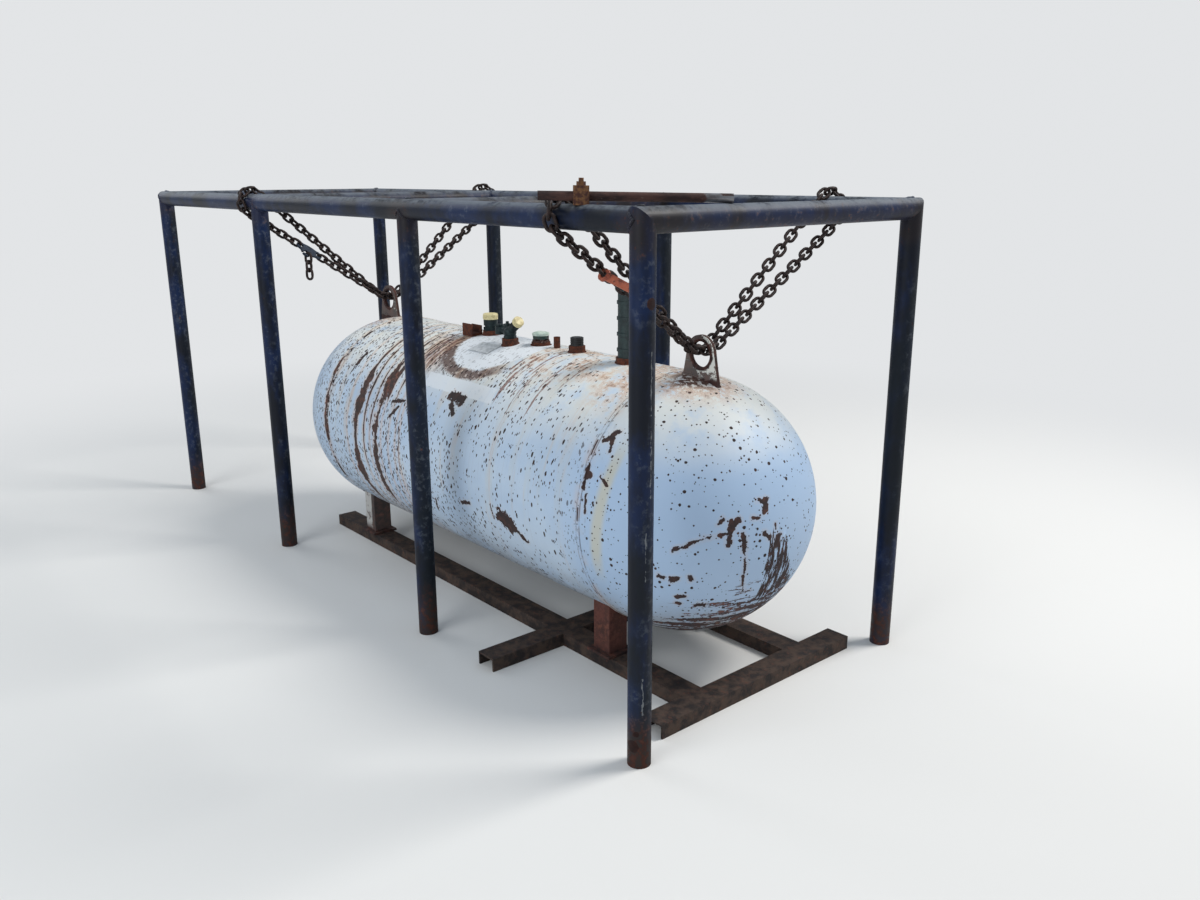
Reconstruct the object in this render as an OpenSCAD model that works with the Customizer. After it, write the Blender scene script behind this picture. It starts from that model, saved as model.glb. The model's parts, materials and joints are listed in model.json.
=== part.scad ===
// Horizontal pressure tank on short legs, chained into a frame of welded pipe.
// Origin: on the ground, under the middle of the frame. +X runs along the tank to its front end,
// +Y runs across to the far side, +Z is up. All lengths are in millimetres.

/* [Tank] */
// Outside diameter of the tank
tank_od = 762; // [660:2:860]
// Distance between the centres of the two round heads
head_centres = 1600; // [1400:10:1800]
// Thickness of the shell wall
shell_wall = 6.5; // [4:0.5:12]
// Thickness of the head wall
head_wall = 6; // [4:0.5:12]
// Length of the straight flange on each head
head_flange = 44; // [25:1:70]
// Height of the tank's underside above the ground
tank_clearance = 111; // [90:1:180]
// Distance from the front posts back to the centre of the front head
tank_setback = 361; // [340:1:460]
// Width of each girth weld
weld_w = 11; // [6:0.5:16]

/* [Frame] */
// Outside diameter of the frame pipe
pipe_od = 60.3; // [48:0.1:76]
// Wall of the frame pipe
pipe_wall = 4.8; // [3:0.1:8]
// Length of the front bay, post to post
bay_front = 1000; // [900:5:1200]
// Length of the middle bay
bay_mid = 1055; // [900:5:1200]
// Length of the back bay
bay_back = 1005; // [900:5:1200]
// Distance across the frame between the two long rails
frame_w = 1035; // [950:5:1200]
// Height of the rails' centreline above the ground
rail_h = 1330; // [1250:5:1500]

/* [Lifting lugs] */
// Thickness of each lug plate
lug_t = 12; // [8:0.5:20]
// Width of a lug at its foot
lug_w = 142; // [120:1:170]
// Height of a lug above the top of the tank
lug_h = 119; // [110:1:150]
// Radius of a lug's rounded top
lug_top_r = 52; // [46:1:56]
// Diameter of the hole for the chains
lug_hole_d = 74; // [68:1:80]
// Height of the hole's centre above the top of the tank
lug_hole_h = 64; // [58:1:70]
// Distance of the front lug beyond its head centre
lug_front_off = 53; // [20:1:90]
// Distance of the back lug beyond its head centre
lug_back_off = 101; // [80:1:110]

/* [Chains] */
// Diameter of the chain's wire
wire_d = 9.5; // [7:0.1:10]
// Length of one link from bearing to bearing, before it is fitted to the run
link_pitch = 30; // [28:0.5:36]
// Outside width of a link
link_w = 35.5; // [34:0.5:38]
// Number of links that turn round a rail
wrap_links = 6; // [6]
// Distance of the front chain's turns ahead of its lug
lean_front = 30; // [10:1:50]
// Distance of the back chain's turns behind its lug
lean_back = 56; // [54:1:80]
// Length of the binder's lever from the middle of its eye
lever_len = 165; // [100:5:200]
// Width of the binder's lever
lever_w = 22; // [18:1:26]
// Slope of the lever below level
lever_drop = 14; // [0:1:30]
// Link of the front chain, counted from the lug, that the binder hooks on
binder_link = 15; // [13:2:17]
// Middle one of the three links of the back chain that the grab hook stands in for
hook_link = 12; // [8:2:14]
// Thickness of the grab hook
hook_t = 8; // [6:0.5:8.5]
// Number of loose links that hang from the grab hook
tail_links = 3; // [1:5]

/* [Legs and base] */
// Width of each leg angle
leg_w = 70; // [50:1:90]
// Thickness of each leg angle
leg_t = 7; // [5:0.5:12]
// Side of the square foot plate
foot_w = 100; // [84:1:110]
// Thickness of the foot plate
foot_t = 8; // [5:0.5:12]
// Distance of the legs inside the head centres
leg_inset = 92; // [90:1:200]
// Distance of each runner from the middle plane
runner_y = 215; // [190:1:240]
// Width of the base channels
channel_w = 76; // [60:1:100]
// Height of the base channels
channel_h = 41; // [30:1:50]
// Thickness of the base channels
channel_t = 6; // [4:0.5:10]
// Length of the near and far runners behind the front tie
runner_len = 2037; // [1900:5:2400]
// Distance from the front posts back to the front tie
tie_front_set = 75; // [60:1:150]
// Distance from the front posts back to the middle tie
tie_mid_set = 670; // [640:5:900]
// Length of the front tie
tie_front_len = 800; // [600:5:900]
// Length of the middle tie
tie_mid_len = 1040; // [800:5:1100]

/* [Fittings] */
// Outside diameter of the welded couplings
coupling_od = 56; // [48:1:64]
// Distance of the bent bracket behind the tank's middle
bracket_x = -243; // [-300:1:-240]
// Distance of the filler valve from the tank's middle
filler_x = -184; // [-190:1:-150]
// Distance of the service valve ahead of the tank's middle
service_x = 11; // [0:1:16]
// Distance of the relief fitting from the tank's middle
relief_x = 110; // [90:1:120]
// Distance of the stub pipe from the tank's middle
stub_x = 197; // [180:1:210]
// Distance of the ribbed plug from the tank's middle
plug_x = 301; // [290:1:360]
// Distance of the riser from the tank's middle
riser_x = 551; // [480:1:600]
// Height of the riser above the top of the tank
riser_h = 237; // [160:1:300]
// Outside diameter of the riser
riser_od = 70; // [50:1:80]

/* [Loose bar] */
// Outside diameter of the loose bar
bar_d = 22; // [16:1:28]
// Distance from the front posts back to where the bar crosses the near rail
bar_cross_x = 210; // [180:5:260]
// Distance from the near rail to where the bar crosses the front rail
bar_cross_y = 276; // [200:2:400]
// Length of the bar beyond the near rail
bar_over_near = 100; // [60:1:100]
// Length of the bar beyond the front rail's centre
bar_over_front = 8; // [6:1:60]
// Thickness of the clamp's lower jaw, which lifts the bar off the near rail
clamp_jaw = 7; // [4:0.5:12]

/* [Hidden] */

$fn = 64;
tank_r = tank_od / 2;
tank_z = tank_clearance + tank_r;
tank_top = tank_z + tank_r;
pipe_r = pipe_od / 2;
frame_len = bay_front + bay_mid + bay_back;
front_x = frame_len / 2;
back_x = -frame_len / 2;
post_x = [back_x, back_x + bay_back, back_x + bay_back + bay_mid, front_x];
rail_y = frame_w / 2;
head_front_x = front_x - tank_setback;
head_back_x = head_front_x - head_centres;
tank_mid_x = (head_front_x + head_back_x) / 2;
shell_len = head_centres - 2 * head_flange;
lug_front_x = head_front_x + lug_front_off;
lug_back_x = head_back_x - lug_back_off;
far_out = 400;
eps = 0.01;

// Tube along Z from z = 0
module tube(od, wall, h) {
    difference() {
        cylinder(d = od, h = h);
        translate([0, 0, -1]) cylinder(d = od - 2 * wall, h = h + 2);
    }
}

// Solid body of the tank, as a cutter for what seats on it
module tank_body() {
    translate([head_back_x, 0, tank_z]) rotate([0, 90, 0])
    cylinder(r = tank_r, h = head_centres, $fn = 240);
    translate([head_front_x, 0, tank_z]) sphere(r = tank_r, $fn = 240);
    translate([head_back_x, 0, tank_z]) sphere(r = tank_r, $fn = 240);
}

// Rolled shell between the two heads, open at both ends
module tank_shell() {
    color("white")
    translate([tank_mid_x - shell_len / 2, 0, tank_z])
    rotate([0, 90, 0])
    tube(tank_od, shell_wall, shell_len);
}

// Half-round head with its straight flange and its girth weld; +Z is the outward end
module head() {
    rotate_extrude(angle = 360) {
        difference() {
            union() {
                intersection() {
                    circle(r = tank_r, $fn = 128);
                    square([tank_r + 1, tank_r + 1]);
                }
                translate([0, -head_flange]) square([tank_r, head_flange + eps]);
                translate([tank_r - weld_w / 2, -head_flange]) intersection() {
                    translate([0, weld_w / 2]) circle(d = 1.5 * weld_w, $fn = 24);
                    square([weld_w, weld_w]);
                }
            }
            circle(r = tank_r - head_wall, $fn = 128);
            translate([-1, -head_flange - 1]) square([tank_r - head_wall + 1, head_flange + 1 + eps]);
        }
    }
}

module tank_head_front() {
    color("white") translate([head_front_x, 0, tank_z]) rotate([0, 90, 0]) head();
}

module tank_head_back() {
    color("white") translate([head_back_x, 0, tank_z]) rotate([0, -90, 0]) head();
}

// Lug outline in its own plane, with the tank's top at y = 0
lug_cy = lug_h - lug_top_r;
lug_foot = -30;
lug_dist = norm([lug_w / 2, lug_cy - lug_foot]);
lug_ang = atan2(lug_cy - lug_foot, lug_w / 2);
lug_tan = asin(lug_top_r / lug_dist);
lug_side = lug_dist * cos(lug_tan);
lug_px = lug_w / 2 - lug_side * cos(lug_ang + lug_tan);
lug_py = lug_foot + lug_side * sin(lug_ang + lug_tan);

module lug(x) {
    color("sienna")
    difference() {
        translate([x, lug_t / 2, tank_top])
        rotate([90, 0, 0])
        difference() {
            linear_extrude(lug_t) {
                translate([0, lug_cy]) circle(r = lug_top_r);
                polygon([[-lug_w / 2, lug_foot], [lug_w / 2, lug_foot], [lug_px, lug_py],
                    [0, lug_cy + lug_top_r / 2], [-lug_px, lug_py]]);
            }
            translate([0, lug_hole_h, -1]) cylinder(d = lug_hole_d, h = lug_t + 2);
        }
        tank_body();
    }
}

// Leg of bent plate with its foot plate on the runner; side is -1 near, 1 far
module leg(x, side) {
    difference() {
        translate([x - leg_w / 2, side * runner_y - leg_w / 2, channel_h + foot_t]) {
            difference() {
                cube([leg_w, leg_w, tank_z]);
                translate([-1, side < 0 ? leg_t : -leg_t, -1])
                cube([leg_w - leg_t + 1, leg_w, tank_z + 2]);
            }
        }
        tank_body();
        translate([-frame_len, -frame_w, tank_z]) cube([2 * frame_len, 2 * frame_w, tank_od]);
    }
    translate([x - foot_w / 2, side * runner_y - foot_w / 2, channel_h])
    cube([foot_w, foot_w, foot_t]);
}

module legs_front() {
    color("firebrick") for (side = [-1, 1]) leg(head_front_x - leg_inset, side);
}

module legs_back() {
    color("tan") for (side = [-1, 1]) leg(head_back_x + leg_inset, side);
}

// Fittings stand on the top line. at() places one, with z = 0 at the top of the tank
module at(x, y = 0) {
    translate([tank_mid_x + x, y, tank_top]) children();
}

coupling_h = 16;
coupling_bore = 30;

module coupling(x, y, od, h) {
    difference() {
        at(x, y) difference() {
            translate([0, 0, -30]) cylinder(d = od, h = h + 30);
            translate([0, 0, -31]) cylinder(d = coupling_bore, h = h + 32);
        }
        tank_body();
    }
}

service_y = -56;

module couplings() {
    color("saddlebrown") {
        coupling(filler_x, 0, coupling_od, coupling_h);
        coupling(service_x, service_y, coupling_od, coupling_h);
        coupling(relief_x, 0, coupling_od + 8, coupling_h - 6);
        coupling(plug_x, 0, coupling_od - 2, coupling_h + 4);
        coupling(riser_x, 0, riser_od + 12, coupling_h);
    }
}

// Filler valve: threaded spigot, hexagon and round body under the cap
filler_cap_z = 56;
filler_cap_h = 20;

module filler_valve() {
    color("darkslategray") at(filler_x) {
        translate([0, 0, coupling_h - 14]) cylinder(d = coupling_bore - 1, h = 15);
        translate([0, 0, coupling_h]) cylinder(d = 52, h = 12, $fn = 6);
        translate([0, 0, coupling_h + 11]) cylinder(d = 42, h = 8);
        translate([0, 0, coupling_h + 18]) cylinder(d = 50, h = filler_cap_z - coupling_h - 18);
    }
}

module filler_cap() {
    color("lemonchiffon") at(filler_x)
    translate([0, 0, filler_cap_z])
    rotate_extrude()
    polygon([[0, 0], [27, 0], [27, filler_cap_h - 4], [24, filler_cap_h], [0, filler_cap_h]]);
}

// Service valve: a body on its spigot, a tilted outlet, and an arm to the regulator seat
service_tilt = 52;
service_out = 54;
service_arm = 56;

module service_valve() {
    color("dimgray") at(service_x, service_y) {
        translate([0, 0, coupling_h - 14]) cylinder(d = coupling_bore - 1, h = 15);
        translate([0, 0, coupling_h]) cylinder(d = 44, h = 9, $fn = 6);
        translate([0, 0, coupling_h + 8]) cylinder(d = 34, h = 24);
        translate([0, 0, coupling_h + 20]) sphere(d = 44);
        translate([0, 0, coupling_h + 22]) rotate([0, service_tilt, 0]) {
            cylinder(d = 31, h = service_out);
            translate([0, 0, service_out - 22]) cylinder(d = 36, h = 12, $fn = 6);
        }
        translate([0, 0, coupling_h + 22]) rotate([0, -88, 0]) cylinder(d = 24, h = service_arm);
        translate([-service_arm, 0, coupling_h + 8]) {
            cylinder(d = 36, h = 26);
            translate([0, 0, 25]) cylinder(d = 28, h = 9, $fn = 6);
        }
        translate([-14, 0, coupling_h + 24]) cylinder(d = 22, h = 24);
        translate([-14, 0, coupling_h + 47]) cylinder(d = 11, h = 9);
    }
}

module service_cap() {
    color("lemonchiffon") at(service_x, service_y)
    translate([0, 0, coupling_h + 22])
    rotate([0, service_tilt, 0])
    translate([0, 0, service_out])
    rotate_extrude()
    polygon([[0, 0], [19, 0], [19, 13], [16, 17], [0, 17]]);
}

// Relief fitting: flange with bolts round it, under a shallow dome
relief_flange_z = 10;
relief_cap_z = 32;

module relief_valve() {
    color("sienna") at(relief_x) {
        translate([0, 0, relief_flange_z]) cylinder(d = 58, h = 6);
        translate([0, 0, relief_flange_z + 5]) cylinder(d = 40, h = relief_cap_z - relief_flange_z - 5);
        translate([0, 0, relief_cap_z - 11]) cylinder(d = 54, h = 11);
        for (k = [0 : 5])
            rotate([0, 0, 60 * k + 30]) translate([24, 0, relief_flange_z + 5])
            cylinder(d = 9, h = 9, $fn = 6);
    }
}

module relief_cap() {
    color("palegreen") at(relief_x)
    translate([0, 0, relief_cap_z])
    rotate_extrude()
    intersection() {
        translate([0, -52]) circle(r = 66, $fn = 96);
        square([29, 40]);
    }
}

module stub_pipe() {
    color("sienna") difference() {
        at(stub_x) translate([0, 0, -20]) tube(22, 4, 56);
        tank_body();
    }
}

// Plug with four ribs on its coupling
plug_z = coupling_h + 4;

module ribbed_plug() {
    color("black") at(plug_x) {
        translate([0, 0, plug_z - 14]) cylinder(d = coupling_bore - 1, h = 15);
        translate([0, 0, plug_z]) cylinder(d = 36, h = 28);
        for (k = [0 : 3]) translate([0, 0, plug_z + 1 + 7 * k]) cylinder(d = 43, h = 4.5);
    }
}

// Riser of screwed sections with a raised band at each joint
riser_bands = 4;

module riser() {
    color("darkslategray") at(riser_x) {
        translate([0, 0, coupling_h]) tube(riser_od, 12, riser_h - coupling_h - 10);
        translate([0, 0, riser_h - 11]) cylinder(d = riser_od - 10, h = 11);
        for (k = [0 : riser_bands - 1])
            translate([0, 0, coupling_h + (riser_h - coupling_h - 30) * (k + 0.4) / riser_bands])
            tube(riser_od + 6, 15, 9);
    }
}

// Bent strip that once hinged the hood, seated on the shell
module hood_bracket() {
    color("sienna") difference() {
        at(bracket_x, -40) {
            translate([-30, -22, -20]) cube([60, 5, 59]);
            translate([-30, 17, -20]) cube([60, 5, 52]);
            translate([-30, -22, -20]) cube([60, 44, 25]);
        }
        tank_body();
    }
}

// Thin bare plate that lies on the shell beside the valves
plate_angle = 18;

module bare_plate() {
    color("white") translate([tank_mid_x - 52, 0, tank_z])
    rotate([plate_angle, 0, 0])
    translate([-55, -32, tank_r + 0.3])
    cube([110, 64, 1.5]);
}

// Vertical post from the ground; its top is coped to the rail above it
module post_blank(x, side) {
    translate([x, side * rail_y, 0]) tube(pipe_od, pipe_wall, rail_h + 2 * pipe_r);
}

module long_axis_cutter(side) {
    translate([back_x - far_out, side * rail_y, rail_h])
    rotate([0, 90, 0])
    cylinder(r = pipe_r, h = frame_len + 2 * far_out);
}

module upright_cutter(x, side) {
    translate([x, side * rail_y, 0]) cylinder(r = pipe_r, h = 2 * rail_h);
}

module above_rail() {
    translate([back_x - far_out, -rail_y - far_out, rail_h])
    cube([frame_len + 2 * far_out, frame_w + 2 * far_out, far_out]);
}

module post_mid(x, side) {
    color("midnightblue") difference() {
        post_blank(x, side);
        long_axis_cutter(side);
        above_rail();
    }
}

// Half-space on one side of the mitre at the back corners; low is the post's side
module mitre_back(low) {
    translate([back_x, 0, rail_h]) rotate([0, 45, 0])
    translate([-far_out, -rail_y - far_out, low ? -far_out : 0])
    cube([2 * far_out, frame_w + 2 * far_out, far_out]);
}

// Half-space on one side of the mitre at a front corner; low is the post's side
module mitre_front(side, low) {
    translate([front_x, side * rail_y, rail_h]) rotate([side * 45, 0, 0])
    translate([-far_out, -far_out, low ? -far_out : 0])
    cube([2 * far_out, 2 * far_out, far_out]);
}

module post_back(side) {
    color("midnightblue") difference() {
        post_blank(back_x, side);
        mitre_back(false);
    }
}

module post_front(side) {
    color("midnightblue") difference() {
        post_blank(front_x, side);
        mitre_front(side, false);
    }
}

module post_near_1() { post_back(-1); }
module post_near_2() { post_mid(post_x[1], -1); }
module post_near_3() { post_mid(post_x[2], -1); }
module post_near_4() { post_front(-1); }
module post_far_1() { post_back(1); }
module post_far_2() { post_mid(post_x[1], 1); }
module post_far_3() { post_mid(post_x[2], 1); }
module post_far_4() { post_front(1); }

// How far the thin tips of a pipe coped to a corner are trimmed back
cope_trim = 3;

// Long rail: mitred to the back post, coped to the front corner
module long_rail(side) {
    color("midnightblue") difference() {
        translate([back_x - pipe_od, side * rail_y, rail_h]) rotate([0, 90, 0])
        tube(pipe_od, pipe_wall, frame_len + pipe_od - cope_trim);
        intersection() {
            mitre_back(true);
            translate([back_x - far_out, -frame_w, 0]) cube([far_out + pipe_od, 2 * frame_w, 2 * rail_h]);
        }
        difference() {
            upright_cutter(front_x, side);
            translate([0, 0, eps]) mitre_front(side, false);
        }
        difference() {
            translate([front_x, 0, rail_h]) rotate([90, 0, 0])
            cylinder(r = pipe_r, h = 2 * frame_w, center = true);
            translate([0, 0, -eps]) mitre_front(side, true);
        }
    }
}

module rail_near() { long_rail(-1); }
module rail_far() { long_rail(1); }

// Cross rail between the long rails, coped at both ends
module cross_rail(x) {
    color("midnightblue") difference() {
        translate([x, rail_y, rail_h]) rotate([90, 0, 0]) tube(pipe_od, pipe_wall, frame_w);
        long_axis_cutter(-1);
        long_axis_cutter(1);
    }
}

// Back cross rail, coped at each end to the mitred corner of rail and post
module cross_rail_back() {
    color("midnightblue") difference() {
        translate([back_x, rail_y - cope_trim, rail_h]) rotate([90, 0, 0])
        tube(pipe_od, pipe_wall, frame_w - 2 * cope_trim);
        for (side = [-1, 1]) {
            difference() {
                long_axis_cutter(side);
                translate([0, 0, -eps]) mitre_back(true);
            }
            difference() {
                upright_cutter(back_x, side);
                translate([0, 0, eps]) mitre_back(false);
            }
        }
    }
}

// Front cross rail, mitred to both front posts
module rail_front() {
    color("midnightblue") difference() {
        translate([front_x, rail_y + pipe_od, rail_h]) rotate([90, 0, 0])
        tube(pipe_od, pipe_wall, frame_w + 2 * pipe_od);
        for (side = [-1, 1]) mitre_front(side, true);
    }
}

module rail_mid_front() { cross_rail(post_x[2]); }
module rail_mid_back() { cross_rail(post_x[1]); }
module rail_back() { cross_rail_back(); }

// Base channel along X from x = 0, web up
module channel(len) {
    translate([0, -channel_w / 2, 0]) difference() {
        cube([len, channel_w, channel_h]);
        translate([-1, channel_t, -1])
        cube([len + 2, channel_w - 2 * channel_t, channel_h - channel_t + 1]);
    }
}

tie_front_x = front_x - tie_front_set;
tie_mid_x = front_x - tie_mid_set;
runner_end = tie_front_x - channel_w / 2;

module runner(side) {
    color("dimgray") translate([runner_end - runner_len, side * runner_y, 0]) channel(runner_len);
}

module runner_near() { runner(-1); }
module runner_far() { runner(1); }

module tie_front() {
    color("dimgray") translate([tie_front_x, -tie_front_len / 2, 0])
    rotate([0, 0, 90]) channel(tie_front_len);
}

// Middle tie in three lengths, between and outside the runners
module tie_mid() {
    inner = 2 * runner_y - channel_w;
    outer = (tie_mid_len - 2 * runner_y - channel_w) / 2;
    color("dimgray") for (piece = [[-inner / 2, inner], [-tie_mid_len / 2, outer],
            [runner_y + channel_w / 2, outer]])
        translate([tie_mid_x, piece[0], 0]) rotate([0, 0, 90]) channel(piece[1]);
}

// Chains. Both strands of a loop pass through the lug's hole side by side, run up to the long
// rails and turn round them, a little to one side of the lug. Every link of a loop has the same
// length; where the run bends, the joints of its links lie a little closer together, as the wires
// ride up on each other.
link_side = (link_w - wire_d) / 2;
roll = 45;
strand_gap = 14.5;
wrap_gap = 13;
seat = 0.4;
// The links in the hole hang the tank by the hole's upper wall
hole_reach = (lug_hole_d - wire_d) / 2 - seat;
hole_out = strand_gap + link_side * cos(roll);
hole_rise = sqrt(pow(hole_reach, 2) - pow(hole_out, 2)) - link_side * sin(roll);
bearing = wire_d / 2 + 0.3;
wrap_slack = 0.75;
hole_slack = 0.4;
// Where a strand meets the turn, the bend is slight and the turn's own slack is too much
entry_take = 0.45;
cross_z = tank_top + lug_hole_h + hole_rise;
// Distance from the rail's centre to the middle of a link that lies on it
wrap_mid = pipe_r + seat + wire_d / 2 + link_side * sin(roll);
run_dir = atan2(rail_h - cross_z, rail_y);

function unit(v) = v / norm(v);
function mix(a, b, t) = a + (b - a) * t;
function wrap_chord(pitch) = pitch - 2 * wrap_slack;
function wrap_step(pitch) =
    2 * atan2(sqrt(pow(wrap_chord(pitch), 2) - pow(2 * wrap_gap / wrap_links, 2)) / 2, wrap_mid);
// Joint k of the turn round the far rail, from its upper side round to its lower side
function wrap_joint(k, pitch, lean) =
    let (a = run_dir + (wrap_links / 2 - k) * wrap_step(pitch))
    let (r = wrap_mid / cos(wrap_step(pitch) / 2))
    [lean + wrap_gap * (2 * k / wrap_links - 1), rail_y + r * cos(a), rail_h + r * sin(a)];
function strand_end(pitch, sx, lean) = wrap_joint(sx < 0 ? 0 : wrap_links, pitch, lean);
// Joints of the link that leaves the hole, half turned from level to its strand
function hole_chord(pitch) = pitch - 2 * hole_slack;
function hole_joint(pitch, sx) = [sx * strand_gap, hole_chord(pitch) / 2, cross_z];
function rise_joint(pitch, sx, lean) =
    let (way = unit(strand_end(pitch, sx, lean) - hole_joint(pitch, sx)))
    hole_joint(pitch, sx) + hole_chord(pitch) * unit(way + [0, 1, 0]);
// The straight strand, from its own bearing on the rising link to that on the turn
function strand_way(pitch, sx, lean) =
    unit(strand_end(pitch, sx, lean) - rise_joint(pitch, sx, lean));
function strand_from(pitch, sx, lean) =
    rise_joint(pitch, sx, lean) - hole_slack * strand_way(pitch, sx, lean);
function strand_to(pitch, sx, lean) =
    strand_end(pitch, sx, lean) - entry_take * strand_way(pitch, sx, lean);
function strand_len(pitch, lean) = norm(strand_to(pitch, -1, lean) - strand_from(pitch, -1, lean));
function strand_links(lean) = round(strand_len(link_pitch, lean) / link_pitch);
// The pitch at which a whole number of links fills the strand
function fit_pitch(lean, pitch = link_pitch, steps = 3) = steps == 0 ? pitch :
    fit_pitch(lean, strand_len(pitch, lean) / strand_links(lean), steps - 1);

// Both ends of every link on one strand, from the hole up
function strand(pitch, sx, lean) =
    let (from = strand_from(pitch, sx, lean))
    let (to = strand_to(pitch, sx, lean))
    let (count = strand_links(lean))
    concat([[hole_joint(pitch, sx), rise_joint(pitch, sx, lean)]],
        [for (i = [0 : count - 1]) [mix(from, to, i / count), mix(from, to, (i + 1) / count)]]);
function wrap(pitch, lean) =
    [for (k = [0 : wrap_links - 1]) [wrap_joint(k, pitch, lean), wrap_joint(k + 1, pitch, lean)]];
function backwards(run) = [for (i = [len(run) - 1 : -1 : 0]) [run[i][1], run[i][0]]];

// Half the straight length of a link's sides
function link_half(pitch) = round(1000 * (pitch / 2 + bearing - link_side)) / 1000;

// One link along X, lying in the XY plane, with its middle at the origin
module link(pitch) {
    half = link_half(pitch);
    for (s = [-1, 1]) {
        translate([-half, s * link_side, 0]) rotate([0, 90, 0])
        cylinder(d = wire_d, h = 2 * half, $fn = 16);
        translate([s * half, 0, 0]) rotate([0, 0, s > 0 ? -90 : 90])
        rotate_extrude(angle = 180, $fn = 24) translate([link_side, 0]) circle(d = wire_d, $fn = 16);
    }
}

function across(d) = unit([1, 0, 0] - d * d[0]);
function link_normal(d, turn) = across(d) * sin(turn) + cross(d, across(d)) * cos(turn);

// Places things as a link between the joints a and b lies: x along the run, z square to the link
module on_run(a, b, turn) {
    m = (a + b) / 2;
    d = unit(b - a);
    n = link_normal(d, turn);
    w = cross(n, d);
    multmatrix([[d[0], w[0], n[0], m[0]], [d[1], w[1], n[1], m[1]], [d[2], w[2], n[2], m[2]],
        [0, 0, 0, 1]]) children();
}

module link_between(a, b, turn, pitch) {
    on_run(a, b, turn) link(pitch);
}

function half_loop(pitch, lean) =
    concat(strand(pitch, -1, lean), wrap(pitch, lean), backwards(strand(pitch, 1, lean)));
function turn_of(i) = i % 2 == 0 ? roll : -roll;
// Place in the half loop of the link that is number k from the lug on the outer strand
function place_of(k, lean) = 2 * strand_links(lean) + wrap_links + 1 - k;

// The far half of a loop, both strands and the turn between them; without is the middle one of
// three links left out, or -2
module chain_half(lean, pitch, without = -2) {
    run = half_loop(pitch, lean);
    for (i = [0 : len(run) - 1])
        if (abs(i - without) > 1) link_between(run[i][0], run[i][1], turn_of(i), pitch);
}

module chain_loop(x, lean, without = -2) {
    pitch = fit_pitch(lean);
    color("saddlebrown") translate([x, 0, 0]) {
        chain_half(lean, pitch);
        mirror([0, 1, 0]) chain_half(lean, pitch, without);
        for (sx = [-1, 1])
            link_between([sx * strand_gap, -pitch / 2, cross_z], [sx * strand_gap, pitch / 2, cross_z],
                -roll, pitch);
    }
}

module chain_front() { chain_loop(lug_front_x, lean_front); }
module chain_back() { chain_loop(lug_back_x, -lean_back, place_of(hook_link, -lean_back)); }

// Binder: a flat lever whose eye passes through one link, square to the strand, and holds the
// link's outer side
eye_bore = 18;
eye_rim = 8;
lever_t = 7;

module binder_lever() {
    pitch = fit_pitch(lean_front);
    i = place_of(binder_link, lean_front);
    link = half_loop(pitch, lean_front)[i];
    reach = (eye_bore - wire_d) / 2 - seat;
    color("orangered") translate([lug_front_x, 0, 0]) mirror([0, 1, 0])
    on_run(link[0], link[1], turn_of(i)) {
        translate([0, link_side, 0]) rotate([0, 90, 0]) rotate([0, 0, 90 + turn_of(i) - lever_drop])
        translate([reach, 0, -lever_t / 2]) difference() {
            union() {
                cylinder(d = eye_bore + 2 * eye_rim, h = lever_t);
                linear_extrude(lever_t)
                polygon([[eye_bore / 2 + 1, -lever_w / 2], [lever_len - 12, -lever_w / 2 + 3],
                    [lever_len, -lever_w / 2 + 9], [lever_len, lever_w / 2 - 6],
                    [lever_len - 10, lever_w / 2 - 1], [eye_bore / 2 + 1, lever_w / 2]]);
            }
            translate([0, 0, -1]) cylinder(d = eye_bore, h = lever_t + 2);
        }
    }
}

// Grab hook in the strand of the back chain: an eye at each end, and a slotted jaw that the loose
// tail hangs from. Its eyes are a little wider than a link's inside, as its edges are square
hook_rim = 8;
hook_ease = 0.85;
hook_bore = link_w - 2 * wire_d + 2 * hook_ease;
jaw_bore = 20;
jaw_out = 24;
jaw_along = -12;
jaw_slot = 7;
jaw_slot_way = 150;
back_pitch = fit_pitch(-lean_back);
hook_place = place_of(hook_link, -lean_back);
hook_run = half_loop(back_pitch, -lean_back)[hook_place];
hook_turn = turn_of(hook_place - 1);

module grab_hook() {
    eye_x = back_pitch + link_half(back_pitch);
    eye_r = hook_bore / 2 + hook_rim;
    color("midnightblue") translate([lug_back_x, 0, 0]) mirror([0, 1, 0])
    on_run(hook_run[0], hook_run[1], hook_turn)
    translate([0, 0, -hook_t / 2]) difference() {
        linear_extrude(hook_t) {
            for (end = [-1, 1]) translate([end * eye_x, 0]) circle(r = eye_r);
            translate([jaw_along, jaw_out]) circle(d = jaw_bore + 2 * hook_rim);
            polygon([[-eye_x, -eye_r + 3], [-10, -eye_r - 2], [10, -eye_r - 2], [eye_x, -eye_r + 3],
                [eye_x, eye_r - 4], [jaw_along + 16, jaw_out + 6], [jaw_along - 16, jaw_out + 6],
                [-eye_x, eye_r - 2]]);
        }
        for (end = [-1, 1]) translate([end * eye_x, 0, -1]) cylinder(d = hook_bore, h = hook_t + 2);
        translate([jaw_along, jaw_out, -1]) {
            cylinder(d = jaw_bore, h = hook_t + 2);
            rotate([0, 0, jaw_slot_way]) translate([0, -jaw_slot / 2, 0])
            cube([jaw_bore + hook_rim, jaw_slot, hook_t + 2]);
        }
    }
}

// Loose links that hang straight down from the grab hook's jaw
hook_way = unit(hook_run[1] - hook_run[0]);
hook_up = link_normal(hook_way, hook_turn);
jaw_at = (hook_run[0] + hook_run[1]) / 2 + jaw_along * hook_way + jaw_out * cross(hook_up, hook_way);
jaw_level = unit([hook_up[0], hook_up[1], 0]);
jaw_rise = [-hook_up[2] * jaw_level[0], -hook_up[2] * jaw_level[1], norm([hook_up[0], hook_up[1]])];
jaw_edge = jaw_at - jaw_bore / 2 * jaw_rise + hook_t / 2 * hook_up;
tail_top = jaw_edge + [0, 0, wire_d / 2 + seat];

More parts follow.
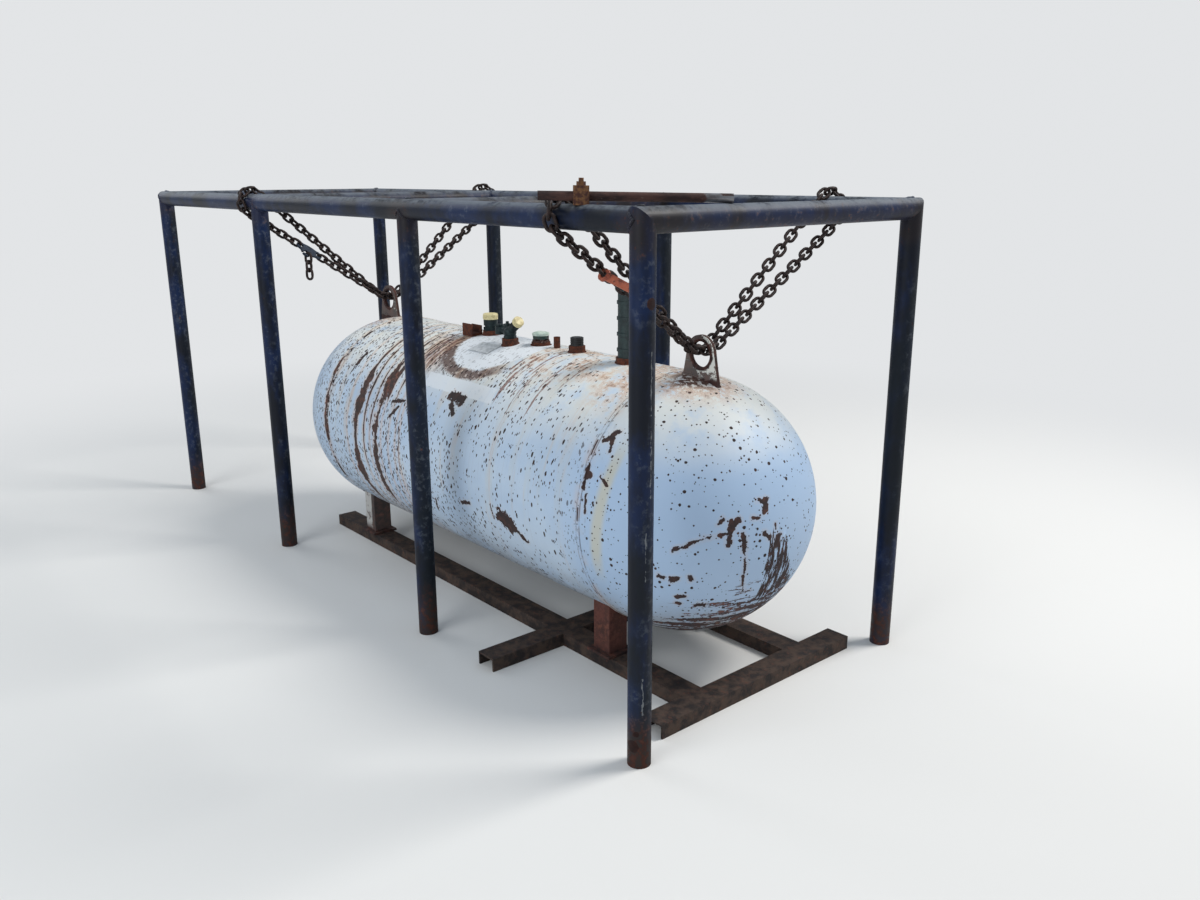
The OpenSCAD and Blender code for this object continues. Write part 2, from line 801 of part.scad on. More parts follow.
module chain_tail() {
    first = back_pitch / 2 + bearing;
    color("saddlebrown") translate([lug_back_x, 0, 0]) mirror([0, 1, 0])
    for (k = [0 : tail_links - 1])
        translate(tail_top - [0, 0, first + k * back_pitch])
        rotate([0, -90, atan2(jaw_level[1], jaw_level[0]) - 90 + 90 * k])
        link(back_pitch);
}

// Loose bar that lies across the near rail and the front rail
bar_z = rail_h + pipe_r + clamp_jaw + bar_d / 2;
bar_turn = atan2(bar_cross_y, bar_cross_x);
bar_span = norm([bar_cross_x, bar_cross_y]);
bar_tilt = atan2(clamp_jaw - seat, bar_span);

// Places things along the bar; x = 0 is above the near rail, where the clamp lifts the bar
module on_bar() {
    translate([front_x - bar_cross_x, -rail_y, bar_z]) rotate([0, bar_tilt, bar_turn]) children();
}

module loose_bar() {
    color("sienna") on_bar() translate([-bar_over_near, 0, 0]) rotate([0, 90, 0])
    cylinder(d = bar_d, h = bar_over_near + bar_span + bar_over_front);
}

// Clamp block round the bar, saddled on the near rail, with its bolt on top
clamp_l = 36;
clamp_w = 44;
clamp_top = bar_d / 2 + 13;
clamp_low = bar_d / 2 + clamp_jaw + 2;

module bar_clamp() {
    color("peru") {
        difference() {
            on_bar() translate([-clamp_l / 2, -clamp_w / 2, -clamp_low])
            cube([clamp_l, clamp_w, clamp_top + clamp_low]);
            on_bar() translate([-clamp_l, 0, 0]) rotate([0, 90, 0])
            cylinder(d = bar_d, h = 2 * clamp_l);
            long_axis_cutter(-1);
        }
        on_bar() translate([0, 0, clamp_top - 1]) cylinder(d = 22, h = 10, $fn = 6);
        on_bar() translate([0, 0, clamp_top + 8]) cylinder(d = 12, h = 9);
    }
}

tank_shell();
tank_head_front();
tank_head_back();
lug(lug_front_x);  // lug_front
lug(lug_back_x);  // lug_back
legs_front();
legs_back();
couplings();
filler_valve();
filler_cap();
service_valve();
service_cap();
relief_valve();
relief_cap();
stub_pipe();
ribbed_plug();
riser();
hood_bracket();
bare_plate();
post_near_1();
post_near_2();
post_near_3();
post_near_4();
post_far_1();
post_far_2();
post_far_3();
post_far_4();
rail_near();
rail_far();
rail_front();
rail_mid_front();
rail_mid_back();
rail_back();
runner_near();
runner_far();
tie_front();
tie_mid();
chain_front();
chain_back();
binder_lever();
grab_hook();
chain_tail();
loose_bar();
bar_clamp();
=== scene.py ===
import json
import math

import bmesh
import bpy
import numpy as np
from mathutils import Matrix, Vector


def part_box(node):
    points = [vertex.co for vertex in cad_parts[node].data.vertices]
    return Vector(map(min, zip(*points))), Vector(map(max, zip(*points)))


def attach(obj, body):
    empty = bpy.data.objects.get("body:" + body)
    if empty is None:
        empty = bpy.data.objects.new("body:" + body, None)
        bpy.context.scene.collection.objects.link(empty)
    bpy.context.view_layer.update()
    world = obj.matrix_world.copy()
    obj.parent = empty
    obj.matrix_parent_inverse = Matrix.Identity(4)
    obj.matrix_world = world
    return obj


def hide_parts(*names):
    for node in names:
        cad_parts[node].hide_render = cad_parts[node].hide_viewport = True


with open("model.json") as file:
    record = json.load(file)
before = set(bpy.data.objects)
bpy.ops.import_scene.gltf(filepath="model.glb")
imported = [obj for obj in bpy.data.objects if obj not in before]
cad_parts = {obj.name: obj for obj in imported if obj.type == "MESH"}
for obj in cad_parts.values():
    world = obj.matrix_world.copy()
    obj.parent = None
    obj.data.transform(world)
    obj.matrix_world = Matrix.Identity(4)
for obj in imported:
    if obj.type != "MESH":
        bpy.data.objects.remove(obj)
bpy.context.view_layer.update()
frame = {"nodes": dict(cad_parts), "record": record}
print("frame loaded with", len(frame["nodes"]), "nodes")


def nodeBox(name):
    low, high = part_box(name)
    return Vector(low), Vector(high)


def nodeMiddle(name):
    low, high = nodeBox(name)
    return (low + high) / 2


# The tank's own measures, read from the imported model
shellLow, shellHigh = nodeBox("tank_shell")
tankRadius = (shellHigh.z - shellLow.z) / 2
tankAxisZ = (shellHigh.z + shellLow.z) / 2
frontCentre = nodeBox("tank_head_front")[1].x - tankRadius
backCentre = nodeBox("tank_head_back")[0].x + tankRadius
seamFront, seamBack = shellHigh.x, shellLow.x
arcPerDegree = math.pi / 180 * tankRadius  # metres round the skin

# The frame's measures
railLow, railHigh = nodeBox("rail_near")
pipeRadius = (railHigh.z - railLow.z) / 2
railZ = (railHigh.z + railLow.z) / 2
railY = nodeMiddle("rail_far").y
postX = [nodeMiddle("post_near_%d" % number).x for number in (1, 2, 3, 4)]
lugX = [nodeMiddle("lug_back").x, nodeMiddle("lug_front").x]


def tone(red, green, blue):  # a colour as it is seen, in steps of 255
    return tuple((part / 255) ** 2.2 for part in (red, green, blue)) + (1.0,)


def radiusAt(x):  # from the tank's axis to its skin, less along a head
    return math.sqrt(max(tankRadius**2 - max(x - frontCentre, backCentre - x, 0) ** 2, 0))


def onTank(x, angle):  # a point of the tank's skin
    turn = math.radians(angle)
    return Vector((x, -radiusAt(x) * math.sin(turn), tankAxisZ + radiusAt(x) * math.cos(turn)))


def tankTopAt(x, y):  # height of the skin straight above a place near the top line
    return tankAxisZ + math.sqrt(radiusAt(x) ** 2 - y**2)


def onPost(x, y, height, facing):  # a point of a post's skin; facing is in degrees from +X
    turn = math.radians(facing)
    return Vector((x + pipeRadius * math.cos(turn), y + pipeRadius * math.sin(turn), height))


def addObject(name, data):
    obj = bpy.data.objects.new(name, data)
    bpy.context.scene.collection.objects.link(obj)
    return obj


# Nodes and shader maths


def put(tree, kind, values=None, **settings):  # one node of any tree, with its sockets and settings
    node = tree.nodes.new(kind)
    for name, value in settings.items():
        setattr(node, name, value)
    for name, value in (values or {}).items():
        plug(tree, node.inputs[name], value)
    return node


def plug(tree, socket, value):  # feeds a socket with a term, a node's first output, a socket or a number
    value = value.socket if isinstance(value, Term) else value
    value = value.outputs[0] if isinstance(value, bpy.types.Node) else value
    if isinstance(value, bpy.types.NodeSocket):
        tree.links.new(value, socket)
    else:
        socket.default_value = value


class Term:  # a number in a material; arithmetic on it adds Math nodes
    def __init__(self, look, socket):
        self.look, self.socket = look, socket

    def __add__(self, other):
        return self.look.maths("ADD", self, other)

    def __sub__(self, other):
        return self.look.maths("SUBTRACT", self, other)

    def __rsub__(self, other):
        return self.look.maths("SUBTRACT", other, self)

    def __mul__(self, other):
        return self.look.maths("MULTIPLY", self, other)

    def __truediv__(self, other):
        return self.look.maths("DIVIDE", self, other)

    def __abs__(self):
        return self.look.maths("ABSOLUTE", self)

    __radd__, __rmul__ = __add__, __mul__  # the order makes no difference to these


class Look:  # one material under construction
    def __init__(self, name, strength=None):
        self.strength = strength
        self.material = bpy.data.materials.new(name)
        self.material.use_nodes = True
        self.tree = self.material.node_tree
        self.tree.nodes.clear()
        self.shader = self.add("ShaderNodeBsdfPrincipled")
        self.output = self.add("ShaderNodeOutputMaterial", {0: self.shader})
        self.place = self.add("ShaderNodeTexCoord").outputs["Object"]
        self.x, self.y, self.z = self.split(self.place)

    def add(self, kind, values=None, **settings):
        return put(self.tree, kind, values, **settings)

    def split(self, vector):
        parts = self.add("ShaderNodeSeparateXYZ", {0: vector})
        return [Term(self, socket) for socket in parts.outputs]

    def join(self, x, y, z=0.0):  # three numbers as one vector
        return self.add("ShaderNodeCombineXYZ", {0: x, 1: y, 2: z})

    def maths(self, operation, *terms):
        return Term(self, self.add("ShaderNodeMath", dict(enumerate(terms)), operation=operation))

    def vector(self, operation, *terms, scale=None):
        values = dict(enumerate(terms))
        if scale is not None:
            values["Scale"] = scale
        node = self.add("ShaderNodeVectorMath", values, operation=operation)
        if operation in ("LENGTH", "DISTANCE", "DOT_PRODUCT"):
            return Term(self, node.outputs["Value"])
        return node.outputs["Vector"]

    def most(self, *masks):
        top = masks[0]
        for mask in masks[1:]:
            top = self.maths("MAXIMUM", top, mask)
        return top

    def least(self, *masks):
        low = masks[0]
        for mask in masks[1:]:
            low = self.maths("MINIMUM", low, mask)
        return low

    def fade(self, value, low, high):  # 0 below low, 1 above high, smooth between
        values = {0: value, 1: low, 2: high}
        return Term(self, self.add("ShaderNodeMapRange", values, interpolation_type="SMOOTHSTEP"))

    def below(self, value, low, high):  # 1 below low, 0 above high
        return 1 - self.fade(value, low, high)

    def within(self, value, low, high, soft):  # 1 between low and high, with soft ends
        return self.fade(value, low - soft, low + soft) * self.below(value, high - soft, high + soft)

    def stretch(self, x=1.0, y=1.0, z=1.0, shift=0.0):  # the object's coordinates, drawn out or shifted
        drawn = self.vector("MULTIPLY", self.place, (x, y, z))
        return self.vector("ADD", drawn, (shift, shift * 1.7, shift * 2.3))

    def noise(self, scale, detail=3.0, rough=0.55, at=None, flat=False):
        values = {"Vector": at or self.place, "Scale": scale, "Detail": detail, "Roughness": rough}
        return Term(self, self.add("ShaderNodeTexNoise", values, noise_dimensions="2D" if flat else "3D"))

    def strands(self, at, across, along, detail=5.0, rough=0.62):  # flat noise, drawn out one way
        return self.noise(1.0, detail, rough, self.vector("MULTIPLY", at, (across, along, 0.0)), flat=True)

    def warp(self, scale, amount, at=None):  # coordinates pushed about by noise
        at = at or self.place
        values = {"Vector": at, "Scale": scale, "Detail": 3.0}
        wobble = self.add("ShaderNodeTexNoise", values).outputs["Color"]
        wobble = self.vector("SUBTRACT", wobble, (0.5, 0.5, 0.5))
        return self.vector("ADD", at, self.vector("SCALE", wobble, scale=amount))

    def specks(self, scale, size, share, at=None, flat=False):  # spots of mixed size on a share of the cells
        values = {"Vector": at or self.place, "Scale": scale}
        cells = self.add("ShaderNodeTexVoronoi", values, voronoi_dimensions="2D" if flat else "3D")
        chances = self.add("ShaderNodeSeparateColor", {0: cells.outputs["Color"]})
        radius = self.fade(Term(self, chances), 1 - share, 1.0) * size
        return self.fade(radius - Term(self, cells.outputs["Distance"]), 0.0, 0.03)

    def nearLine(self, at, start, end):  # distance to a straight line between two points
        run = Vector(end) - Vector(start)
        offset = self.vector("SUBTRACT", at, tuple(start))
        share = self.vector("DOT_PRODUCT", offset, tuple(run / run.length_squared))
        share = self.least(self.most(share, 0.0), 1.0)
        return self.vector("DISTANCE", offset, self.vector("SCALE", tuple(run), scale=share))

    def mix(self, mask, under, over):
        return self.add("ShaderNodeMix", {0: mask, 6: under, 7: over}, data_type="RGBA").outputs[2]

    def lay(self, name, mask, over):  # lays a colour over the coat, as strong as its name says
        self.coat = self.mix(self.strength[name] * mask, self.coat, over)

    def finish(self, colour, roughness, height=None, metallic=0.0, depth=0.001, strength=0.6):
        sockets = {"Base Color": colour, "Roughness": roughness, "Metallic": metallic}
        if height is not None:
            values = {"Strength": strength, "Distance": depth, "Height": height}
            sockets["Normal"] = self.add("ShaderNodeBump", values)
        for name, value in sockets.items():
            plug(self.tree, self.shader.inputs[name], value)
        return self.material


# Finishes

rust = {
    "dark": tone(40, 25, 23),
    "brown": tone(74, 45, 37),
    "red": tone(116, 70, 54),
    "orange": tone(172, 112, 76),
    "stain": tone(206, 168, 134),
}


def rustColour(look, patch, crumb):  # dark brown to red brown, in blotches
    colour = look.mix(look.fade(crumb, 0.38, 0.62), rust["dark"], rust["brown"])
    return look.mix(0.8 * look.fade(patch * 0.5 + crumb * 0.5, 0.54, 0.66), colour, rust["red"])


# On the tank, x is in metres, angles in degrees from the top line down the near side, heights over the axis
tankPaint = {
    # a white paint, tinted bluish by painted sky shade
    "white": tone(190, 206, 222),
    # a painted bluish sky shade
    "skyShade": tone(160, 185, 214),
    # a pale warm white: painted sunlight on the top, with dust
    "dustySunlit": tone(224, 224, 216),
    "clean": tone(224, 229, 233),
    "beige": tone(198, 188, 152),
    "dirt": tone(150, 146, 138),
    "frontFrom": (0.98, 1.20),  # x where the front head's marks take over
    "headShadeHeights": (-0.30, 0.25),  # heights between which the front head takes a painted bluish sky shade
    "sunlitTopFrom": (0.155, 0.353),  # heights where the paint turns pale and warm, as painted sunlight with dust on the top
    "dirtUpTo": (-0.358, -0.143),  # heights where the underside's dirt ends
    "beigeRun": (1.226, 0.017, 54, 108),  # x at its top, half width, first and last angle
    "hoodCentre": (0.36, 10.0),
    "hoodReach": (0.200, 0.176),  # half its length and half its width, round the tank
    "hoodRing": (0.98, 1.23),  # the ring of rust, in parts of that reach
    "bareStrip": (0.190, 0.585, 42.5, 51.0),  # first and last x, first and last angle
    "flecks": [(62.0, 0.28, 0.66), (132.0, 0.38, 0.74)],  # cells to the metre, size, share of the cells
    "dots": [(48.0, 0.26, 0.95), (100.0, 0.30, 0.80)],  # the same for the heads
    "farChips": (13.0, 0.20, 0.30),  # the same for the far side's chips
    "seam": (0.006, 0.003),  # half width of a girth weld's rust, and its shift from the shell's end
    "rimHeight": (0.190, 0.275),  # z over which the front head's rubbed underside ends
    "rimSlope": (1.333, 0.43),  # x where that holds, and its rise along the head
    "tipStreaks": (-0.056, -0.012, 0.29, 0.50),  # first and last y, first and last z
    "strength": {  # how much each kind of mark shows
        "cloud": 0.6, "blue": 0.9, "dustySunlit": 0.85, "runs": 0.15, "beigeRun": 0.62, "dirt": 0.75,
        "stain": 0.62, "network": 0.72, "redSpecks": 0.60, "hoodStain": 0.45, "hoodRust": 0.9,
        "strip": 0.7, "tears": 0.22, "halo": 0.5, "chipHalo": 0.35, "seamHalo": 0.7,
        "scrapes": 0.85, "seamLine": 0.6, "bare": 0.96, "deep": 0.6,
    },
    "bands": [  # x, half width, first and last angle, how far the band bows
        (-0.155, 0.021, 48, 128, -0.016),
        (-0.138, 0.0045, 12, 70, -0.022),
        (-0.105, 0.0050, 34, 98, 0.008),
        (-0.008, 0.016, 40, 122, -0.006),
        (0.014, 0.008, 22, 66, 0.012),
        (-0.052, 0.0035, 20, 88, 0.0),
        (-0.405, 0.010, 50, 104, 0.012),
        (0.070, 0.005, 16, 60, 0.01),
        (0.110, 0.014, -128, -52, 0.014),
        (-0.220, 0.009, -110, -58, -0.010),
        (0.150, 0.005, -100, -30, 0.0),
    ],
    "scrapes": [  # thin rubbed arcs near the top: x, half width, first and last angle
        (0.605, 0.008, 10, 47), (0.625, 0.004, 14, 40), (0.672, 0.004, 22, 44), (0.700, 0.003, 26, 46),
        (0.782, 0.005, 20, 50), (0.765, 0.003, 12, 38), (0.560, 0.005, 20, 34), (0.845, 0.003, 14, 34),
        (0.130, 0.012, 14, 40), (0.095, 0.007, 16, 44), (0.165, 0.008, 20, 38), (0.740, 0.002, 24, 42),
        (-0.085, 0.006, 8, 30), (0.900, 0.003, -40, -12), (0.640, 0.005, -44, -14), (0.585, 0.009, 14, 34),
        (0.655, 0.006, 10, 30), (0.715, 0.005, 8, 30), (0.820, 0.004, 8, 28), (0.690, 0.004, 26, 52),
    ],
    "chips": [  # x and angle of the first point, of the last point, half width
        (1.504, 79, 1.512, 68, 0.009), (1.504, 70, 1.505, 90, 0.007), (1.492, 70, 1.488, 74, 0.005),
        (1.504, 80, 1.462, 86, 0.0042), (1.462, 86, 1.413, 93, 0.0050), (1.530, 33, 1.534, 44, 0.009),
        (1.524, 40, 1.530, 38, 0.006), (1.527, 61, 1.533, 57, 0.0045), (1.546, 49, 1.547, 60, 0.004),
        (1.522, 80, 1.524, 100, 0.0075), (1.524, 102, 1.517, 126, 0.0032), (1.514, 128, 1.500, 144, 0.0038),
        (1.500, 144, 1.506, 150, 0.0025), (1.541, 78, 1.545, 88, 0.007), (1.549, 92, 1.547, 120, 0.008),
        (1.376, 107, 1.383, 108, 0.008), (1.402, 110, 1.411, 110, 0.010), (1.438, 110, 1.440, 112, 0.007),
        (1.400, 122, 1.409, 122, 0.009), (1.424, 132, 1.436, 134, 0.008), (1.392, 126, 1.396, 127, 0.006),
        (1.155, 52, 1.184, 47, 0.009), (1.176, 50, 1.190, 56, 0.007), (1.190, 67, 1.222, 70, 0.005),
        (1.153, 76, 1.158, 83, 0.005), (1.142, 69, 1.146, 68, 0.010), (1.136, 64, 1.138, 74, 0.006),
        (0.752, 102, 0.792, 104, 0.031), (0.815, 105, 0.862, 110, 0.008), (0.700, 97, 0.704, 103, 0.003),
        (0.530, 103, 0.575, 101, 0.007), (0.385, 52, 0.455, 53, 0.018), (0.405, 57, 0.436, 61, 0.012),
        (0.062, 64, 0.135, 62, 0.006), (0.070, 72, 0.110, 66, 0.007), (-0.284, 50, -0.276, 42, 0.009),
        (0.355, 108, 0.340, 114, 0.005),
        (0.260, -62, 0.330, -64, 0.010), (0.900, -95, 0.960, -97, 0.012), (1.400, -60, 1.420, -66, 0.008),
        (0.620, -50, 0.660, -51, 0.007), (1.290, -100, 1.340, -108, 0.006),
    ],
}


class TankSkin(Look):  # the tank's material, with the places and noises that its marks share
    def __init__(self):
        super().__init__("tankPaint", tankPaint["strength"])
        self.above = self.z - tankAxisZ
        self.angle = self.maths("ARCTAN2", 0 - self.y, self.above) * (180 / math.pi)
        self.down = abs(self.angle)
        self.arc = self.angle * arcPerDegree
        self.skin = self.join(self.x, self.arc)
        self.front = self.fade(self.x, *tankPaint["frontFrom"])
        self.cloud = self.noise(3.4, 4.0)
        self.patch = self.noise(12.0, 5.0, 0.62)
        self.crumb = self.noise(48.0, 5.0, 0.68)
        self.lines = self.strands(self.skin, 75.0, 5.0)
        self.runs = self.strands(self.skin, 15.0, 1.7, 4.0, 0.5)
        self.brushed = self.fade(self.lines * 0.6 + self.crumb * 0.4, 0.43, 0.54)


def tankCoat(look):  # chalky paint with painted bluish sky shade, painted warm sunlight with dust on top, faint runs down the side and a dirty underside
    values = tankPaint
    # a painted bluish sky shade across the front head, and in cloudy patches on the shell
    blue = look.front * look.within(look.above + 0.05 * (look.cloud - 0.5), *values["headShadeHeights"], 0.10)
    cloudy = look.fade(look.cloud, 0.30, 0.68) * (1 - look.front)
    skyShade = look.strength["cloud"] * cloudy + look.strength["blue"] * blue
    look.coat = look.mix(skyShade, values["white"], values["skyShade"])
    # painted warm sunlight on the top, in dusty patches
    dustySunlit = look.fade(look.above, *values["sunlitTopFrom"]) * look.fade(look.patch, 0.25, 0.55)
    look.lay("dustySunlit", dustySunlit, values["dustySunlit"])
    faint = look.fade(look.runs, 0.5, 0.68) * look.below(look.down, 80, 125) * (1 - look.front)
    look.lay("runs", faint, values["beige"])
    runX, runHalf, runFirst, runLast = values["beigeRun"]
    across = look.x + 0.0006 * (look.angle - runFirst) + 0.02 * (look.runs - 0.5)
    run = look.within(across, runX - runHalf, runX + runHalf, 0.012)
    run = run * look.within(look.angle, runFirst, runLast, 10)
    look.lay("beigeRun", run, values["beige"])
    dirt = look.below(look.above, *values["dirtUpTo"]) * look.fade(look.patch, 0.30, 0.56)
    look.lay("dirt", dirt, values["dirt"])


def tankStains(look):  # orange staining on the upper side, and rust round the lugs
    upper = look.below(look.down, 14, 42) * look.within(look.x, 0.52, 1.12, 0.1)
    upper = upper * look.fade(look.patch, 0.44, 0.60)
    beside = look.below(look.down, 24, 46) * look.within(look.x, 0.98, 1.12, 0.05)
    beside = beside * look.fade(look.patch, 0.36, 0.50)
    feet = [look.vector("DISTANCE", look.place, (x, -0.02, tankTopAt(x, 0))) for x in lugX]
    reach = look.least(*feet) + 0.10 * (look.patch - 0.5)
    rusty = look.most(upper, beside, look.below(reach, 0.07, 0.17))
    network = look.below(abs(look.crumb - 0.5), 0.004, 0.022)
    look.lay("stain", rusty * look.fade(look.crumb, 0.34, 0.60), rust["stain"])
    look.lay("network", rusty * network, rust["orange"])
    look.lay("redSpecks", rusty * look.fade(look.crumb, 0.56, 0.62), rust["red"])
    return look.below(reach, 0.045, 0.085) * look.fade(look.crumb, 0.44, 0.52)


def hoodMarks(look):  # the hood's place is clean, with rust smeared round its near edge
    values = tankPaint
    hoodX, hoodAngle = values["hoodCentre"]
    fromX = (look.x - hoodX) / values["hoodReach"][0]
    fromArc = (look.angle - hoodAngle) * (arcPerDegree / values["hoodReach"][1])
    spread = look.maths("SQRT", fromX * fromX + fromArc * fromArc)
    ragged = spread + 0.20 * (look.patch - 0.5) + 0.10 * (look.crumb - 0.5)
    nearSide = look.fade(look.angle - 20 * fromX, 6, 26)
    ring = look.within(ragged, *values["hoodRing"], 0.04) * nearSide
    smear = look.within(ragged, 1.02, 1.7, 0.14) * look.below(look.x, 0.16, 0.30)
    smear = smear * look.within(look.angle, 14, 42, 7)
    smeared = look.most(ring * look.fade(look.crumb, 0.33, 0.46), smear * look.brushed)
    look.coat = look.mix(look.within(spread, -1.0, 0.97, 0.03), look.coat, values["clean"])
    look.lay("hoodStain", look.most(ring, smear), rust["stain"])
    look.lay("hoodRust", smeared, rust["brown"])
    return look.within(spread, -1.0, 0.95, 0.03)


def stripMask(look):  # a clean strip on the near side
    left, right, first, last = tankPaint["bareStrip"]
    slanted = look.x - 0.0016 * (look.angle - first)
    return look.within(slanted, left, right, 0.003) * look.within(look.angle, first, last, 0.5)


def bandMarks(look):  # rust bands and rubbed arcs that follow the tank round
    wander = (look.noise(4.0, 4.0, 0.6) - 0.5) * 0.028 + (look.crumb - 0.5) * 0.006
    swell = look.fade(look.patch, 0.32, 0.66) * 1.25 + 0.35
    edges = []
    for bandX, half, first, last, bow in tankPaint["bands"]:
        along = look.within(look.angle, first, last, 14)
        bowed = bow * look.within(look.angle, (first + last) / 2, 200, 28)
        edges.append(swell * half * along - abs(look.x - bandX - bowed + wander))
    bands = look.most(*edges)
    frayed = bands + (look.lines - 0.5) * 0.022
    mask = look.fade(frayed, -0.0004, 0.0014) * look.fade(bands, -0.006, -0.001)
    edges = []
    for scrapeX, half, first, last in tankPaint["scrapes"]:
        along = look.within(look.angle, first, last, 5)
        edges.append(half * along - abs(look.x - scrapeX + wander))
    scrapes = look.fade(look.most(*edges), -0.001, 0.0015) * look.brushed
    return mask, look.fade(bands, -0.016, 0.004), scrapes


def fleckMarks(look):  # drawn out on the shell and crowded towards the back, round on the heads
    crowd = look.fade(look.noise(2.6, 3.0, 0.5, look.stretch(1.0, 0.8, 0.8, 7.0)), 0.32, 0.60)
    thick = (1 - 0.62 * look.fade(look.x, 0.1, 0.9)) * (0.30 + 0.70 * crowd)
    drawnOut = look.vector("MULTIPLY", look.warp(130.0, 0.005, look.skin), (1.0, 0.50, 0.0))
    layers = []
    for number, (scale, size, share) in enumerate(tankPaint["flecks"]):
        at = look.vector("ADD", drawnOut, (0.37 * number, 0.61 * number, 0.0))
        layers.append(look.specks(scale, size, thick * share, at, flat=True))
    gather = 0.5 + 0.5 * look.fade(look.noise(6.0, 3.0), 0.40, 0.60)
    at = look.warp(120.0, 0.004)
    dots = [look.specks(scale, size, gather * share, at) for scale, size, share in tankPaint["dots"]]
    ends = look.most(look.front, look.below(look.x, seamBack - 0.22, seamBack - 0.02))
    return look.most(look.most(*layers) * (1 - ends), look.most(*dots) * ends)


def chipMarks(look):  # chips knocked off the paint
    at = look.warp(55.0, 0.014, look.warp(190.0, 0.006))
    swell = look.fade(look.crumb, 0.30, 0.70) * 0.9 + 0.55
    edges = []
    for x, angle, lastX, lastAngle, half in tankPaint["chips"]:
        edges.append(half * swell - look.nearLine(at, onTank(x, angle), onTank(lastX, lastAngle)))
    chips = look.most(*edges)
    scattered = look.specks(*tankPaint["farChips"], at) * look.fade(look.y, 0.10, 0.25)
    return look.most(look.fade(chips, -0.0004, 0.0005), scattered), look.fade(chips, -0.010, 0.0)


def rimMarks(look):  # the front head is rubbed bare along its underside
    low, high = tankPaint["rimHeight"]
    slopeX, slope = tankPaint["rimSlope"]
    level = look.z - slope * (look.x - slopeX) + 0.05 * (look.patch - 0.5)
    rubbed = look.strands(look.join(look.arc, look.z), 7.0, 70.0, rough=0.66)
    rubbed = 0.6 * rubbed + 0.4 * look.crumb + 0.13 * look.below(level, low, high)
    rim = look.fade(rubbed, 0.575, 0.592) * look.below(level, high, high + 0.03)
    return rim * look.fade(look.x, 1.17, 1.30)


def tipMarks(look):  # ragged streaks up the front tip, wider at their lower end
    left, right, bottom, upto = tankPaint["tipStreaks"]
    across = look.y + 0.02 * (look.patch - 0.5)
    widened = across - 0.5 * (upto - look.z)
    area = look.fade(across, left - 0.012, left + 0.006) * look.below(widened, right - 0.012, right + 0.012)
    area = area * look.within(look.z, bottom, upto, 0.03)
    upright = look.strands(look.join(look.y, look.z), 95.0, 13.0, rough=0.66)
    tip = look.fade(area * 0.175 + upright, 0.625, 0.636) * look.fade(look.x, 1.38, 1.44)
    return tip * look.fade(area, 0.05, 0.2)


def seamMarks(look):  # rust along the girth welds, and a thin line at each toe
    half, shift = tankPaint["seam"]
    seams = look.most(half - abs(look.x - (seamFront + shift)), half - abs(look.x - (seamBack - shift)))
    seamRust = look.fade(seams, 0.0, 0.003) * look.fade(look.noise(13.0, 5.0, 0.75), 0.50, 0.55)
    seamHalo = look.fade(seams, -0.03, half) * look.fade(look.patch, 0.45, 0.62)
    toe = abs(abs(seams - half) - 0.0075)
    return seamRust, seamHalo, look.below(toe, 0.0005, 0.0018) * look.fade(look.crumb, 0.36, 0.52)


def tankLook():
    look = TankSkin()
    tankCoat(look)
    lugRust = tankStains(look)
    hood = hoodMarks(look)
    strip = stripMask(look)
    look.lay("strip", strip * look.fade(look.crumb, 0.30, 0.42), tankPaint["clean"])
    kept = look.most(hood * 0.75, strip)
    bands, bandHalo, scrapes = bandMarks(look)
    chips, chipHalo = chipMarks(look)
    seamRust, seamHalo, seamLine = seamMarks(look)
    tears = look.fade(look.runs * 0.5 + look.lines * 0.5, 0.56, 0.66) * (1 - look.front) * (1 - kept)
    halo = look.most(bandHalo, look.strength["chipHalo"] * chipHalo, look.strength["seamHalo"] * seamHalo)
    look.lay("tears", tears, rust["stain"])
    look.lay("halo", halo, rust["stain"])
    look.lay("scrapes", scrapes, rust["red"])
    look.lay("seamLine", seamLine, rust["brown"])
    deep = look.most(fleckMarks(look) * (1 - kept), chips, seamRust, tipMarks(look))
    bare = look.most(bands, rimMarks(look), lugRust, deep)
    look.lay("bare", bare, rustColour(look, look.patch, look.crumb))
    look.lay("deep", deep, rust["dark"])
    roughness = 0.46 + 0.12 * look.crumb + 0.3 * bare
    height = 0.12 * look.noise(160.0, 3.0) + 0.30 * look.patch
    return look.finish(look.coat, roughness, height, depth=0.0012, strength=0.5)


framePaint = {
    "navy": tone(8, 17, 30),
    "bright": tone(10, 34, 68),
    "dull": tone(22, 29, 35),
    # a pale grey for faded paint, also a painted sheen on upward faces
    "fadedAndSheen": tone(116, 122, 128),
    "pale": tone(142, 146, 148),
    "soil": tone(58, 46, 38),
    "gloss": 0.25,
    "weatherFrom": (0.55, 0.83),  # the side that wears most, as x and y
    "jointRust": (0.040, 0.075),  # metres round a joint's middle
    "footSoil": (0.05, 0.19),  # heights above the ground
    "chips": (50.0, 0.24, 0.24),  # cells to the metre, size, share of the cells
    "strength": {  # how much each kind of mark shows
        "film": 0.8, "mottle": 0.22, "sheenTops": 0.72, "scratches": 0.30, "pale": 0.5, "chips": 0.7,
        "joints": 0.64, "footSoil": 0.6, "jointSoil": 0.25, "rust": 0.88, "blotches": 0.75,
    },
    "scratches": [  # on the front near post: first and last height, facing, half width
        (1.045, 0.900, 2, 0.0014), (0.880, 0.700, 4, 0.0012), (0.245, 0.150, -28, 0.0022),
        (0.62, 0.50, -20, 0.0012),
    ],
    "blotches": [  # on the front near post: height, facing, half width
        (1.152, 0, 0.013), (0.060, -78, 0.016), (0.095, -60, 0.008),
    ],
}


